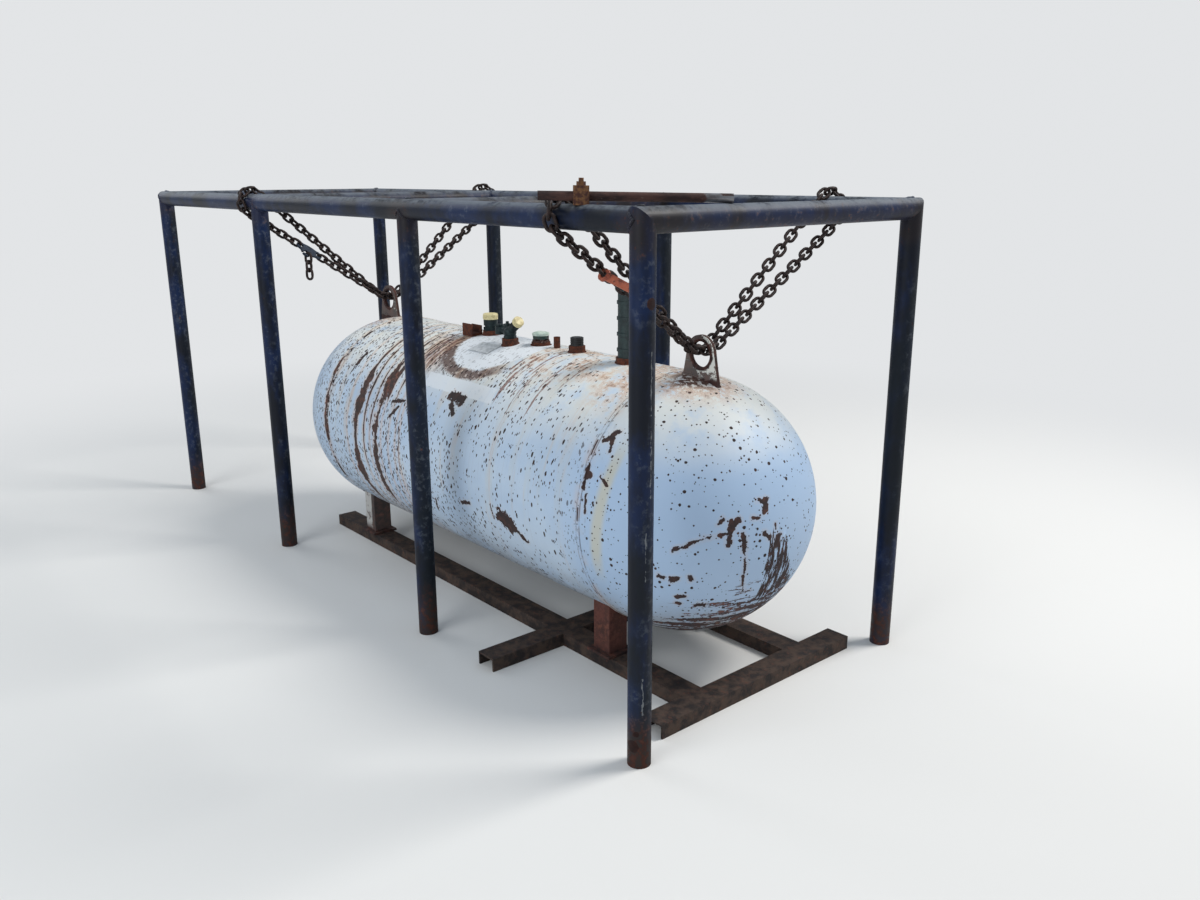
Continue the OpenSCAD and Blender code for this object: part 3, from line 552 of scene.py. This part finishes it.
def frameCoat(look, patch, crumb):  # navy under a dull film, pale on top as a painted sheen over faded paint, scratched down the posts
    values = framePaint
    facing = look.split(look.add("ShaderNodeNewGeometry").outputs["Normal"])
    wornX, wornY = values["weatherFrom"]
    worn = 0.10 * (wornX * facing[0] + wornY * facing[1])
    film = look.fade(look.noise(5.0, 5.0, 0.65, look.stretch(0.6, 1.3, 0.3, 4.0)) + worn, 0.45, 0.60)
    film = film * (1 - 0.75 * look.fade(look.z, railZ - 0.07, railZ - 0.04))
    mottled = look.fade(crumb, 0.50, 0.66) * look.fade(patch + worn, 0.40, 0.60)
    # upward faces take a painted pale sheen, patchy like faded paint
    upward = look.fade(facing[2], 0.45, 0.92)
    sheenTops = upward * look.fade(crumb * 0.5 + patch * 0.5, 0.36, 0.55)
    lines = look.noise(60.0, 3.0, 0.7, look.stretch(1.0, 1.0, 0.05, 6.0))
    scratches = look.fade(lines, 0.70, 0.74) * look.fade(look.noise(4.0, 2.0), 0.45, 0.6)
    scratches = scratches * look.below(look.z, railZ - 0.09, railZ - 0.05)
    look.coat = look.mix(look.fade(patch, 0.40, 0.62), values["navy"], values["bright"])
    look.lay("film", film, values["dull"])
    look.lay("mottle", mottled, values["fadedAndSheen"])
    look.lay("sheenTops", sheenTops, values["fadedAndSheen"])
    look.lay("scratches", scratches, values["fadedAndSheen"])
    return film, upward


def postMarks(look, crumb):  # of the front near post
    x, y = postX[3], -railY
    at = look.warp(60.0, 0.010)
    swell = 0.4 + 1.2 * look.fade(crumb, 0.35, 0.65)
    pale, blotches = [], []
    for first, last, facing, half in framePaint["scratches"]:
        ends = onPost(x, y, first, facing), onPost(x, y, last, facing)
        pale.append(half * swell - look.nearLine(at, *ends))
    for height, facing, half in framePaint["blotches"]:
        blotches.append(half - look.vector("DISTANCE", at, tuple(onPost(x, y, height, facing))))
    return look.fade(look.most(*pale), -0.0006, 0.0008), look.fade(look.most(*blotches), -0.001, 0.001)


def frameLook():
    values = framePaint
    look = Look("framePaint", values["strength"])
    patch = look.noise(9.0, 5.0, 0.62, look.stretch(0.6, 1.0, 0.36))
    crumb = look.noise(52.0, 5.0, 0.68)
    film, upward = frameCoat(look, patch, crumb)
    pale, blotches = postMarks(look, crumb)
    look.lay("pale", pale, values["pale"])

    # rust in chips, round the welded joints and at the feet
    chips = look.specks(*values["chips"], look.warp(60.0, 0.012))
    chips = chips * look.fade(look.noise(3.4, 3.0), 0.50, 0.64)
    side = look.vector("MULTIPLY", look.place, (1.0, 0.0, 1.0))
    reach = look.least(*[look.vector("DISTANCE", side, (x, 0.0, railZ - pipeRadius)) for x in postX])
    joint = look.below(reach + 0.08 * (patch - 0.5), *values["jointRust"])
    foot = look.below(look.z + 0.16 * (patch - 0.5), *values["footSoil"])
    jointRust = joint * look.fade(crumb, 0.58, 0.66)
    footRust = foot * look.fade(crumb, 0.47, 0.57)
    bare = look.most(
        look.strength["chips"] * chips, look.strength["joints"] * jointRust, footRust, blotches)
    look.lay("footSoil", foot, values["soil"])
    look.lay("jointSoil", joint, values["soil"])
    look.lay("rust", bare, rustColour(look, patch, crumb))
    look.lay("blotches", blotches, rust["dark"])
    roughness = 0.46 + 0.20 * film + 0.25 * bare + 0.15 * upward
    height = 0.35 * look.noise(120.0, 4.0) + 0.5 * crumb
    plug(look.tree, look.shader.inputs["Specular IOR Level"], values["gloss"])
    return look.finish(look.coat, roughness, height, depth=0.0008, strength=0.5)


def steelLook(name, dark, light, red=0.4, scale=55.0, roughness=0.78, metallic=0.25, lumps=0.0009):
    look = Look(name)
    patches = look.fade(look.noise(scale, 6.0, 0.65), 0.38, 0.62)
    colour = look.mix(patches, tone(*dark), tone(*light))
    spots = look.fade(look.noise(scale * 2.4, 4.0, 0.7), 0.55, 0.70)
    colour = look.mix(red * spots, colour, rust["red"])
    height = look.noise(scale * 4.0, 5.0, 0.7) + 0.5 * look.noise(scale, 3.0)
    return look.finish(colour, roughness + 0.12 * patches, height, metallic, depth=lumps, strength=0.7)


def castLook(name, body, worn, dirty=0.5, roughness=0.5, metallic=0.0, scale=70.0):
    look = Look(name)
    shade = look.fade(look.noise(scale, 4.0), 0.36, 0.66)
    colour = look.mix(shade, tone(*body), tone(*worn))
    dirt = look.fade(look.noise(scale * 0.5, 5.0, 0.7), 0.50, 0.68)
    colour = look.mix(dirty * dirt, colour, rust["dark"])
    height = look.noise(scale * 5.0, 4.0) + 0.4 * look.noise(scale, 2.0)
    return look.finish(colour, roughness + 0.2 * dirt, height, metallic, depth=0.0005, strength=0.5)


lugPaint = {
    "rust": tone(66, 32, 27),
    "holeHeight": 0.064,  # the hole's middle above the tank's top line
    "holeRust": (0.044, 0.048),  # metres from the hole's middle
    "footRust": (-0.070, -0.054),  # heights over the hole's middle
    "sides": (0.0048, 0.0058),  # y over which a side of the plate starts
}


def lugLook():  # pale sides, bare at the edges, round the hole and at the foot
    values = lugPaint
    look = Look("lugPaint")
    patch, crumb = look.noise(16.0, 4.0), look.noise(60.0, 5.0, 0.68)
    holeZ = tankAxisZ + tankRadius + values["holeHeight"]
    side = look.vector("MULTIPLY", look.place, (1.0, 0.0, 1.0))
    reach = look.least(*[look.vector("DISTANCE", side, (x, 0.0, holeZ)) for x in lugX])
    nearHole = look.below(reach + 0.016 * (crumb - 0.5), *values["holeRust"])
    behind = look.below(look.x - max(lugX), -0.035, 0.030)
    outer = look.fade(0.5 * patch + 0.5 * crumb + 0.12 * behind, 0.49, 0.53)
    foot = look.below(look.z - holeZ + 0.03 * (crumb - 0.5), *values["footRust"])
    flecks = look.specks(120.0, 0.34, 0.4, look.warp(90.0, 0.006))
    edges = look.below(abs(look.y), *values["sides"])
    bare = look.most(edges, nearHole, foot, 0.9 * outer, flecks)
    colour = look.mix(0.5 * look.fade(patch, 0.4, 0.6), rustColour(look, patch, crumb), values["rust"])
    # the pale paint is the tank's warm white of painted sunlight
    colour = look.mix(bare, tankPaint["dustySunlit"], colour)
    height = 0.5 * look.noise(150.0, 4.0) + 0.5 * crumb
    return look.finish(colour, 0.5 + 0.32 * bare, height, depth=0.0009)


legPaint = {
    "back": tone(178, 176, 172),
    "front": tone(92, 50, 40),
    "soil": (0.045, 0.085),  # heights above the ground
    "flange": (-0.040, -0.036),  # the back legs' rusty front flange, from its front face
}


def legLook():
    values = legPaint
    look = Look("legPaint")
    patch, crumb = look.noise(14.0, 5.0, 0.65), look.noise(50.0, 5.0, 0.68)
    toFront = look.fade(look.x, 0.2, 0.6)
    paint = look.mix(toFront, values["back"], values["front"])
    foot = look.below(look.z + 0.05 * (patch - 0.5), *values["soil"])
    face = look.x - nodeBox("legs_back")[1].x
    flange = look.fade(face + 0.012 * (patch - 0.5), *values["flange"]) * (1 - toFront)
    bare = look.most(0.85 * look.fade(0.5 * patch + 0.5 * crumb, 0.47, 0.56), foot, 0.92 * flange)
    colour = look.mix(bare, paint, rustColour(look, patch, crumb))
    return look.finish(colour, 0.62 + 0.2 * bare, crumb, depth=0.0012)


reliefPaint = {
    "rusty": tone(66, 40, 34),
    "grains": tone(150, 138, 126),
    "green": tone(36, 58, 54),
    "worn": tone(54, 44, 38),
    "ring": (-0.0125, -0.0115),  # where the ring starts, from the top
}


def reliefLook():  # rusty flange and bolts below a dark green ring
    values = reliefPaint
    look = Look("reliefPaint")
    patch, crumb = look.noise(30.0, 5.0, 0.65), look.noise(120.0, 5.0, 0.68)
    ring = look.fade(look.z - nodeBox("relief_valve")[1].z, *values["ring"])
    below = look.mix(look.fade(crumb, 0.56, 0.62), values["rusty"], values["grains"])
    body = look.mix(look.fade(patch, 0.46, 0.62), values["green"], values["worn"])
    return look.finish(look.mix(ring, below, body), 0.7 - 0.15 * ring, crumb, depth=0.0007)


barPaint = {
    "dark": tone(46, 31, 30),
    "rusty": tone(80, 54, 48),
    "grains": tone(150, 138, 130),
    "bright": tone(150, 152, 156),
    "grey": tone(104, 100, 100),
    "brightFrom": (-0.068, -0.062),  # y where the bright end starts, from the bar's far end
    "slot": (-0.034, -0.012),  # the dark slot in it, from the same end
    "slotDepth": (-0.016, -0.013),  # from the bar's top
}


def barLook():  # rusty bar, rubbed to bright steel at one end
    values = barPaint
    look = Look("barSteel")
    tip = nodeBox("loose_bar")[1]
    patch = look.noise(40.0, 5.0, 0.65, look.stretch(0.35, 0.35, 1.0))
    crumb = look.noise(110.0, 5.0, 0.68)
    colour = look.mix(look.fade(patch, 0.38, 0.62), values["dark"], values["rusty"])
    colour = look.mix(0.4 * look.fade(crumb, 0.62, 0.70), colour, values["grains"])
    along = look.y - tip.y
    slot = look.within(along, *values["slot"], 0.001) * look.fade(look.z - tip.z, *values["slotDepth"])
    bright = look.fade(along + 0.010 * (crumb - 0.5), *values["brightFrom"]) * (1 - slot)
    steel = look.mix(look.fade(patch, 0.4, 0.6), values["bright"], values["grey"])
    colour = look.mix(0.9 * bright, colour, steel)
    return look.finish(colour, 0.78 - 0.4 * bright, crumb, 0.2 + 0.6 * bright, depth=0.0007)


binderPaint = {"orange": tone(172, 92, 66), "dull": tone(142, 72, 54)}


def binderLook():  # painted lever, worn to rust along its edges
    look = Look("binderPaint")
    patch, crumb = look.noise(34.0, 5.0, 0.65), look.noise(110.0, 5.0, 0.68)
    colour = look.mix(look.fade(patch, 0.38, 0.62), binderPaint["orange"], binderPaint["dull"])
    worn = look.fade(0.5 * patch + 0.5 * crumb, 0.52, 0.58)
    colour = look.mix(0.85 * worn, colour, rustColour(look, patch, crumb))
    return look.finish(colour, 0.55 + 0.25 * worn, crumb - 0.4 * worn, depth=0.0006)


looks = {
    "tank_paint": tankLook(),
    "frame_blue": frameLook(),
    "lug_steel": lugLook(),
    "leg_steel": legLook(),
    "fitting_rust": steelLook("fittingRust", (62, 36, 28), (104, 58, 40), 0.6, 90.0),
    "valve_body": castLook("valveBody", (26, 38, 42), (48, 62, 62), roughness=0.45, metallic=0.5),
    "cap_cream": castLook("capCream", (226, 212, 160), (206, 190, 140), dirty=0.25),
    "dome_green": castLook("domeGreen", (196, 208, 196), (160, 180, 168), dirty=0.15),
    "plug_black": castLook("plugBlack", (26, 27, 28), (46, 46, 46), dirty=0.2),
    "riser_green": castLook("riserGreen", (24, 40, 42), (36, 56, 56), dirty=0.35),
    "plate_white": castLook("plateWhite", (208, 212, 214), (184, 188, 190), dirty=0.2),
    "base_steel": steelLook("baseSteel", (40, 34, 33), (78, 64, 56), 0.35, 26.0, lumps=0.0015),
    "chain_steel": steelLook("chainSteel", (27, 20, 20), (52, 37, 33), 0.3, 120.0, roughness=0.55),
    "bar_steel": barLook(),
    "clamp_steel": steelLook("clampSteel", (72, 44, 36), (128, 92, 62), scale=80.0),
    "binder_orange": binderLook(),
    "hook_steel": castLook("hookSteel", (34, 44, 58), (52, 62, 76), 0.6, 0.55, metallic=0.3),
}
print("finishes made:", len(looks))

slotOf = {part["node"]: part["material_slot"] for part in frame["record"]["subparts"]}
for name, node in frame["nodes"].items():
    node.data.materials.clear()
    node.data.materials.append(looks[slotOf[name]])
frame["nodes"]["relief_valve"].data.materials[0] = reliefLook()
print("finishes given to the packed nodes")


# Geometry Nodes


def treeOf(name, inputs):  # a geometry tree, its two ends and its inputs' identifiers
    tree = bpy.data.node_groups.new(name, "GeometryNodeTree")
    for way in ("INPUT", "OUTPUT"):
        tree.interface.new_socket("Geometry", in_out=way, socket_type="NodeSocketGeometry")
    found = {}
    for label, kind in inputs.items():
        found[label] = tree.interface.new_socket(label, in_out="INPUT", socket_type=kind).identifier
    return tree, put(tree, "NodeGroupInput"), put(tree, "NodeGroupOutput"), found


def grow(source, tree, found, values, name, slotName):  # runs a tree on a mesh and keeps what it makes
    modifier = source.modifiers.new("grow", "NODES")
    modifier.node_group = tree
    for label, value in values.items():
        modifier[found[label]] = value
    evaluated = source.evaluated_get(bpy.context.evaluated_depsgraph_get())
    mesh = bpy.data.meshes.new_from_object(evaluated)
    source.modifiers.remove(modifier)
    piece = addObject(name, mesh)
    bpy.data.objects.remove(source)
    mesh.materials.clear()
    mesh.materials.append(looks[slotName])
    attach(piece, "root")
    print("made", name, len(mesh.polygons), "faces")
    return piece


def meshOf(form, name):  # turns a form into a mesh and frees it
    mesh = bpy.data.meshes.new(name)
    form.to_mesh(mesh)
    form.free()
    return mesh


# Chain links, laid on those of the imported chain

chain = {
    "steps": 10,  # round each end of a link
    "sides": 12,  # round the wire
    "weldSwell": 0.0007,  # how far the wire swells at its weld
    "weldLength": 0.003,  # how far that reaches each way
    "pitting": 0.0007,
    "pittingScale": 260.0,
}


def islandsOf(obj):  # the vertices of each loose part of a mesh, as arrays
    mesh = obj.data
    points = np.empty(len(mesh.vertices) * 3)
    mesh.vertices.foreach_get("co", points)
    points = points.reshape(-1, 3)
    corners = np.empty(len(mesh.loops), dtype=np.int64)
    mesh.loops.foreach_get("vertex_index", corners)
    places, spot = np.unique(np.round(points, 6), axis=0, return_inverse=True)
    corners = spot.reshape(-1)[corners].reshape(-1, 3)
    label = np.arange(len(places))
    while True:
        lowest = label[corners].min(axis=1)
        before = label.copy()
        for corner in range(3):
            np.minimum.at(label, corners[:, corner], lowest)
        label = label[label]
        if (label == before).all():
            break
    return [places[label == mark] for mark in np.unique(label)]


def circle(count=48):  # the cosine and sine of equal steps round a circle
    turns = [2 * math.pi * step / count for step in range(count)]
    return [(math.cos(turn), math.sin(turn)) for turn in turns]


def linkPath(length, width, wire):  # places round a link, with the way out as a turn and an end
    side = (width - wire) / 2
    half = (length - width) / 2
    path = []
    for end in (1, -1):
        for step in range(chain["steps"] + 1):
            turn = math.pi * (step / chain["steps"] - 0.5)
            path.append((end * (half + side * math.cos(turn)), end * side * math.sin(turn), turn, end))
        for share in (0.25, 0.5, 0.75):
            path.append((end * half * (1 - 2 * share), end * side, math.pi / 2, end))
    return path


def linkMesh(length, width, wire):  # one link along X in the XY plane
    form = bmesh.new()
    rings = []
    for x, y, turn, end in linkPath(length, width, wire):
        out = Vector((end * math.cos(turn), end * math.sin(turn), 0))
        swell = chain["weldSwell"] * math.exp(-((x / chain["weldLength"]) ** 2)) if y > 0 else 0
        reach = wire / 2 + swell
        places = [Vector((x, y, reach * sin)) + out * reach * cos for cos, sin in circle(chain["sides"])]
        rings.append([form.verts.new(place) for place in places])
    for ring, after in zip(rings, rings[1:] + rings[:1]):
        for step in range(chain["sides"]):
            other = (step + 1) % chain["sides"]
            form.faces.new((ring[step], after[step], after[other], ring[other]))
    bmesh.ops.recalc_face_normals(form, faces=form.faces)
    for face in form.faces:
        face.smooth = True
    return meshOf(form, "linkShape")


def chainTree():
    tree, start, end, found = treeOf("chainRun", {"Link": "NodeSocketObject", "Pitting": "NodeSocketFloat"})
    shape = put(tree, "GeometryNodeObjectInfo", {"Object": start.outputs["Link"]})
    turn = put(tree, "GeometryNodeInputNamedAttribute", {"Name": "turn"}, data_type="FLOAT_VECTOR")
    spin = put(tree, "FunctionNodeEulerToRotation", {0: turn})
    laid = put(tree, "GeometryNodeInstanceOnPoints", {
        "Points": start, "Instance": shape.outputs["Geometry"], "Rotation": spin})
    real = put(tree, "GeometryNodeRealizeInstances", {"Geometry": laid})
    rough = put(tree, "ShaderNodeTexNoise", {"Scale": chain["pittingScale"], "Detail": 2.0})
    level = put(tree, "ShaderNodeMath", {0: rough, 1: 0.5}, operation="SUBTRACT")
    depth = put(tree, "ShaderNodeMath", {0: level, 1: start.outputs["Pitting"]}, operation="MULTIPLY")
    normal = put(tree, "GeometryNodeInputNormal")
    push = put(tree, "ShaderNodeVectorMath", {0: normal, "Scale": depth}, operation="SCALE")
    moved = put(tree, "GeometryNodeSetPosition", {"Geometry": real, "Offset": push})
    clad = put(tree, "GeometryNodeSetMaterial", {"Geometry": moved, "Material": looks["chain_steel"]})
    plug(tree, end.inputs[0], clad)
    return tree, found


def layChain(node, name):
    islands = islandsOf(frame["nodes"][node])
    centres, spins, spans = [], [], []
    for points in islands:
        centre = points.mean(axis=0)
        axes = np.linalg.eigh(np.cov((points - centre).T))[1][:, ::-1]
        if np.linalg.det(axes) < 0:
            axes[:, 2] *= -1
        local = (points - centre) @ axes
        low, high = local.min(axis=0), local.max(axis=0)
        spans.append(high - low)
        centres.append(tuple(centre + axes @ ((low + high) / 2)))
        spins.append(tuple(Matrix(axes.tolist()).to_euler()))
    length, width, wire = np.median(spans, axis=0)
    shape = addObject("linkShape", linkMesh(length, width, wire))
    mesh = bpy.data.meshes.new(name + "Points")
    mesh.from_pydata(centres, [], [])
    attribute = mesh.attributes.new("turn", "FLOAT_VECTOR", "POINT")
    attribute.data.foreach_set("vector", np.array(spins).ravel())
    source = addObject(name + "Points", mesh)
    values = {"Link": shape, "Pitting": chain["pitting"]}
    piece = grow(source, *chainTreeParts, values, name, "chain_steel")
    bpy.data.objects.remove(shape)
    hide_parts(node)
    print("links laid:", len(islands))


chainTreeParts = chainTree()
for node, name in (("chain_front", "chainFront"), ("chain_back", "chainBack"), ("chain_tail", "chainTail")):
    layChain(node, name)


# Weld beads, as overlapping scales along the joints

weld = {
    "frameRadius": 0.0042,
    "cornerRadius": 0.0028,
    "tankRadius": 0.0034,
    "pace": 0.75,  # from scale to scale, in parts of the radius
    "sizes": (0.82, 1.14),  # least and most, in parts of the radius
    "seed": 7,
    "ground": 0.0052,  # how much is ground off past the frame's outside
    "feet": {"filler_valve": 0.0285, "relief_valve": 0.0325, "ribbed_plug": 0.0275, "riser": 0.0415},
    "serviceFoot": (0.380, -0.056, 0.0285),  # x, y and radius
}


def weldTree():
    tree, start, end, found = treeOf("weldBead", {
        "Radius": "NodeSocketFloat", "Pace": "NodeSocketFloat", "Seed": "NodeSocketInt",
        "Paint": "NodeSocketMaterial"})
    radius = start.outputs["Radius"]
    line = put(tree, "GeometryNodeMeshToCurve", {"Mesh": start})
    gap = put(tree, "ShaderNodeMath", {0: radius, 1: start.outputs["Pace"]}, operation="MULTIPLY")
    spaced = put(tree, "GeometryNodeResampleCurve", {"Curve": line, "Length": gap}, mode="LENGTH")
    scale = put(tree, "GeometryNodeMeshIcoSphere", {"Radius": radius, "Subdivisions": 2})
    smooth = put(tree, "GeometryNodeSetShadeSmooth", {"Geometry": scale})
    values = {2: weld["sizes"][0], 3: weld["sizes"][1], "Seed": start.outputs["Seed"]}
    vary = put(tree, "FunctionNodeRandomValue", values, data_type="FLOAT")
    laid = put(tree, "GeometryNodeInstanceOnPoints", {
        "Points": spaced, "Instance": smooth, "Scale": vary.outputs[1]})
    real = put(tree, "GeometryNodeRealizeInstances", {"Geometry": laid})
    clad = put(tree, "GeometryNodeSetMaterial", {"Geometry": real, "Material": start.outputs["Paint"]})
    plug(tree, end.inputs[0], clad)
    return tree, found


weldTreeParts = weldTree()


def layWelds(name, loops, radius, slotName):
    form = bmesh.new()
    for points in loops:
        ring = [form.verts.new(point) for point in points]
        for one, after in zip(ring, ring[1:] + ring[:1]):
            form.edges.new((one, after))
    source = addObject(name + "Lines", meshOf(form, name + "Lines"))
    values = {"Radius": radius, "Pace": weld["pace"], "Seed": weld["seed"], "Paint": looks[slotName]}
    return grow(source, *weldTreeParts, values, name, slotName)


def copedPost(x, side):  # a post's top, at the underside of a rail
    return [(x + pipeRadius * cos, side * railY + pipeRadius * sin, railZ - pipeRadius * abs(cos))
            for cos, sin in circle()]


def copedCross(x, side):  # a middle cross rail's end, at the inner side of a long rail
    return [(x + pipeRadius * cos, side * (railY - pipeRadius * abs(cos)), railZ + pipeRadius * sin)
            for cos, sin in circle()]


def onElbow(across, up):  # how far a mitred corner stands out at a third pipe
    return pipeRadius * (abs(up) if up <= across else abs(across))


def ground(outward):  # how far out a bead lies, ground flush past the frame's outside
    return (pipeRadius - weld["ground"] * ((1 + outward) / 2) ** 3) * outward


def copedFront(side):  # a long rail's front end, at the corner of post and cross rail
    return [(postX[3] - onElbow(cos, sin), side * (railY + pipeRadius * cos), railZ + pipeRadius * sin)
            for cos, sin in circle()]


def copedBack(side):  # the back cross rail's end, at the corner of post and long rail
    return [(postX[0] - ground(-cos), side * (railY - onElbow(-cos, sin)), railZ + pipeRadius * sin)
            for cos, sin in circle()]


def mitredBack(side):  # the slanting joint of rail and post at a back corner
    return [(postX[0] - ground(cos), side * railY + pipeRadius * sin, railZ + ground(cos))
            for cos, sin in circle()]


def mitredFront(side):  # the slanting joint of cross rail and post at a front corner
    return [(postX[3] + ground(sin), side * (railY + ground(cos)), railZ + ground(cos))
            for cos, sin in circle()]


def onTop(x, y):
    return x, y, tankTopAt(x, y)


def roundFoot(x, y, radius):  # the foot of a coupling on the tank
    return [onTop(x + radius * cos, y + radius * sin) for cos, sin in circle()]


def lugFoot(x, half, thick):  # round the foot of a lug
    corners = [(-half, -thick), (half, -thick), (half, thick), (-half, thick)]
    points = []
    for (fromX, fromY), (toX, toY) in zip(corners, corners[1:] + corners[:1]):
        for share in (step / 12 for step in range(12)):
            points.append(onTop(x + fromX + (toX - fromX) * share, fromY + (toY - fromY) * share))
    return points


frameLoops = [make(x, side) for make in (copedPost, copedCross) for x in postX[1:3] for side in (-1, 1)]
frameLoops += [make(side) for make in (copedFront, copedBack) for side in (-1, 1)]
layWelds("frameWelds", frameLoops, weld["frameRadius"], "frame_blue")
cornerLoops = [make(side) for make in (mitredBack, mitredFront) for side in (-1, 1)]
layWelds("cornerWelds", cornerLoops, weld["cornerRadius"], "frame_blue")

couplingLoops = []
for node, radius in weld["feet"].items():
    middle = nodeMiddle(node)
    couplingLoops.append(roundFoot(middle.x, middle.y, radius))
couplingLoops.append(roundFoot(*weld["serviceFoot"]))
layWelds("couplingWelds", couplingLoops, weld["tankRadius"], "fitting_rust")

lugLoops = []
for node in ("lug_back", "lug_front"):
    low, high = nodeBox(node)
    lugLoops.append(lugFoot((low.x + high.x) / 2, (high.x - low.x) / 2, (high.y - low.y) / 2))
layWelds("lugWelds", lugLoops, weld["frameRadius"], "lug_steel")


# Stage, light and camera

stage = {
    "floor": tone(222, 221, 218),
    "backdrop": tone(226, 228, 230),
    "skyLight": (tone(214, 224, 236), 0.50),  # colour and strength of the soft light from all round
    "fadeFrom": (2.0, 4.8),  # where the floor passes into the backdrop, metres from the middle
    "floorSize": 90.0,
    "lamps": {  # place, the point it shines at, size, power, colour
        "key": ((3.2, 3.6, 5.8), (0.3, 0, 0.5), 2.6, 380, (1.0, 0.98, 0.95)),
        "fill": ((1.6, -6.2, 3.6), (0.3, 0, 0.5), 5.0, 190, (0.93, 0.97, 1.0)),
        "side": ((-5.5, -1.5, 4.0), (0, 0, 0.6), 4.0, 90, (0.96, 0.98, 1.0)),
    },
    "lens": 30.2,
    "sensor": 36.0,
    "clip": (0.05, 100.0),
    "eye": (3.161, -2.045, 1.428),
    "look": (-0.7313, 0.6286, -0.2648),
    "roll": -0.21,
}


def makeFloor():  # the floor keeps the shadow, and passes into the backdrop's colour far away
    form = bmesh.new()
    bmesh.ops.create_grid(form, x_segments=1, y_segments=1, size=stage["floorSize"] / 2)
    floor = addObject("floor", meshOf(form, "floor"))
    look = Look("floorPale")
    floor.data.materials.append(look.finish(stage["floor"], 0.9))
    path = look.add("ShaderNodeLightPath")
    rays = [Term(look, path.outputs["Is %s Ray" % kind]) for kind in ("Camera", "Glossy", "Transmission")]
    far = look.fade(look.vector("LENGTH", look.place), *stage["fadeFrom"])
    glow = look.add("ShaderNodeEmission", {"Color": stage["backdrop"], "Strength": 1.0})
    blend = look.add("ShaderNodeMixShader", {
        0: look.most(*rays) * far, 1: look.shader, 2: glow})
    plug(look.tree, look.output.inputs[0], blend)


def makeLamp(name, place, aim, size, power, warmth):
    lamp = bpy.data.lights.new(name, "AREA")
    lamp.shape, lamp.size, lamp.energy, lamp.color = "DISK", size, power, warmth
    obj = addObject(name, lamp)
    obj.location = place
    obj.rotation_euler = (Vector(aim) - Vector(place)).to_track_quat("-Z", "Y").to_euler()


def makeWorld():  # the camera sees the backdrop, and the sky light lights the tank
    world = bpy.data.worlds.new("world")
    bpy.context.scene.world = world
    world.use_nodes = True
    tree = world.node_tree
    tree.nodes.clear()
    path = put(tree, "ShaderNodeLightPath")
    seen = put(tree, "ShaderNodeBackground", {0: stage["backdrop"], 1: 1.0})
    lit = put(tree, "ShaderNodeBackground", dict(enumerate(stage["skyLight"])))
    blend = put(tree, "ShaderNodeMixShader", {
        0: path.outputs["Is Camera Ray"], 1: lit, 2: seen})
    put(tree, "ShaderNodeOutputWorld", {0: blend})


def makeCamera():
    data = bpy.data.cameras.new("camera")
    data.lens, data.sensor_width = stage["lens"], stage["sensor"]
    data.clip_start, data.clip_end = stage["clip"]
    camera = addObject("camera", data)
    camera.location = stage["eye"]
    aim = Vector(stage["look"]).to_track_quat("-Z", "Y").to_matrix()
    camera.rotation_euler = (aim @ Matrix.Rotation(math.radians(stage["roll"]), 3, "Z")).to_euler()
    bpy.context.scene.camera = camera


makeFloor()
makeWorld()
for name, values in stage["lamps"].items():
    makeLamp(name, *values)
makeCamera()
print("stage, lamps and camera made")

sceneSettings = bpy.context.scene
sceneSettings.view_settings.view_transform = "Standard"
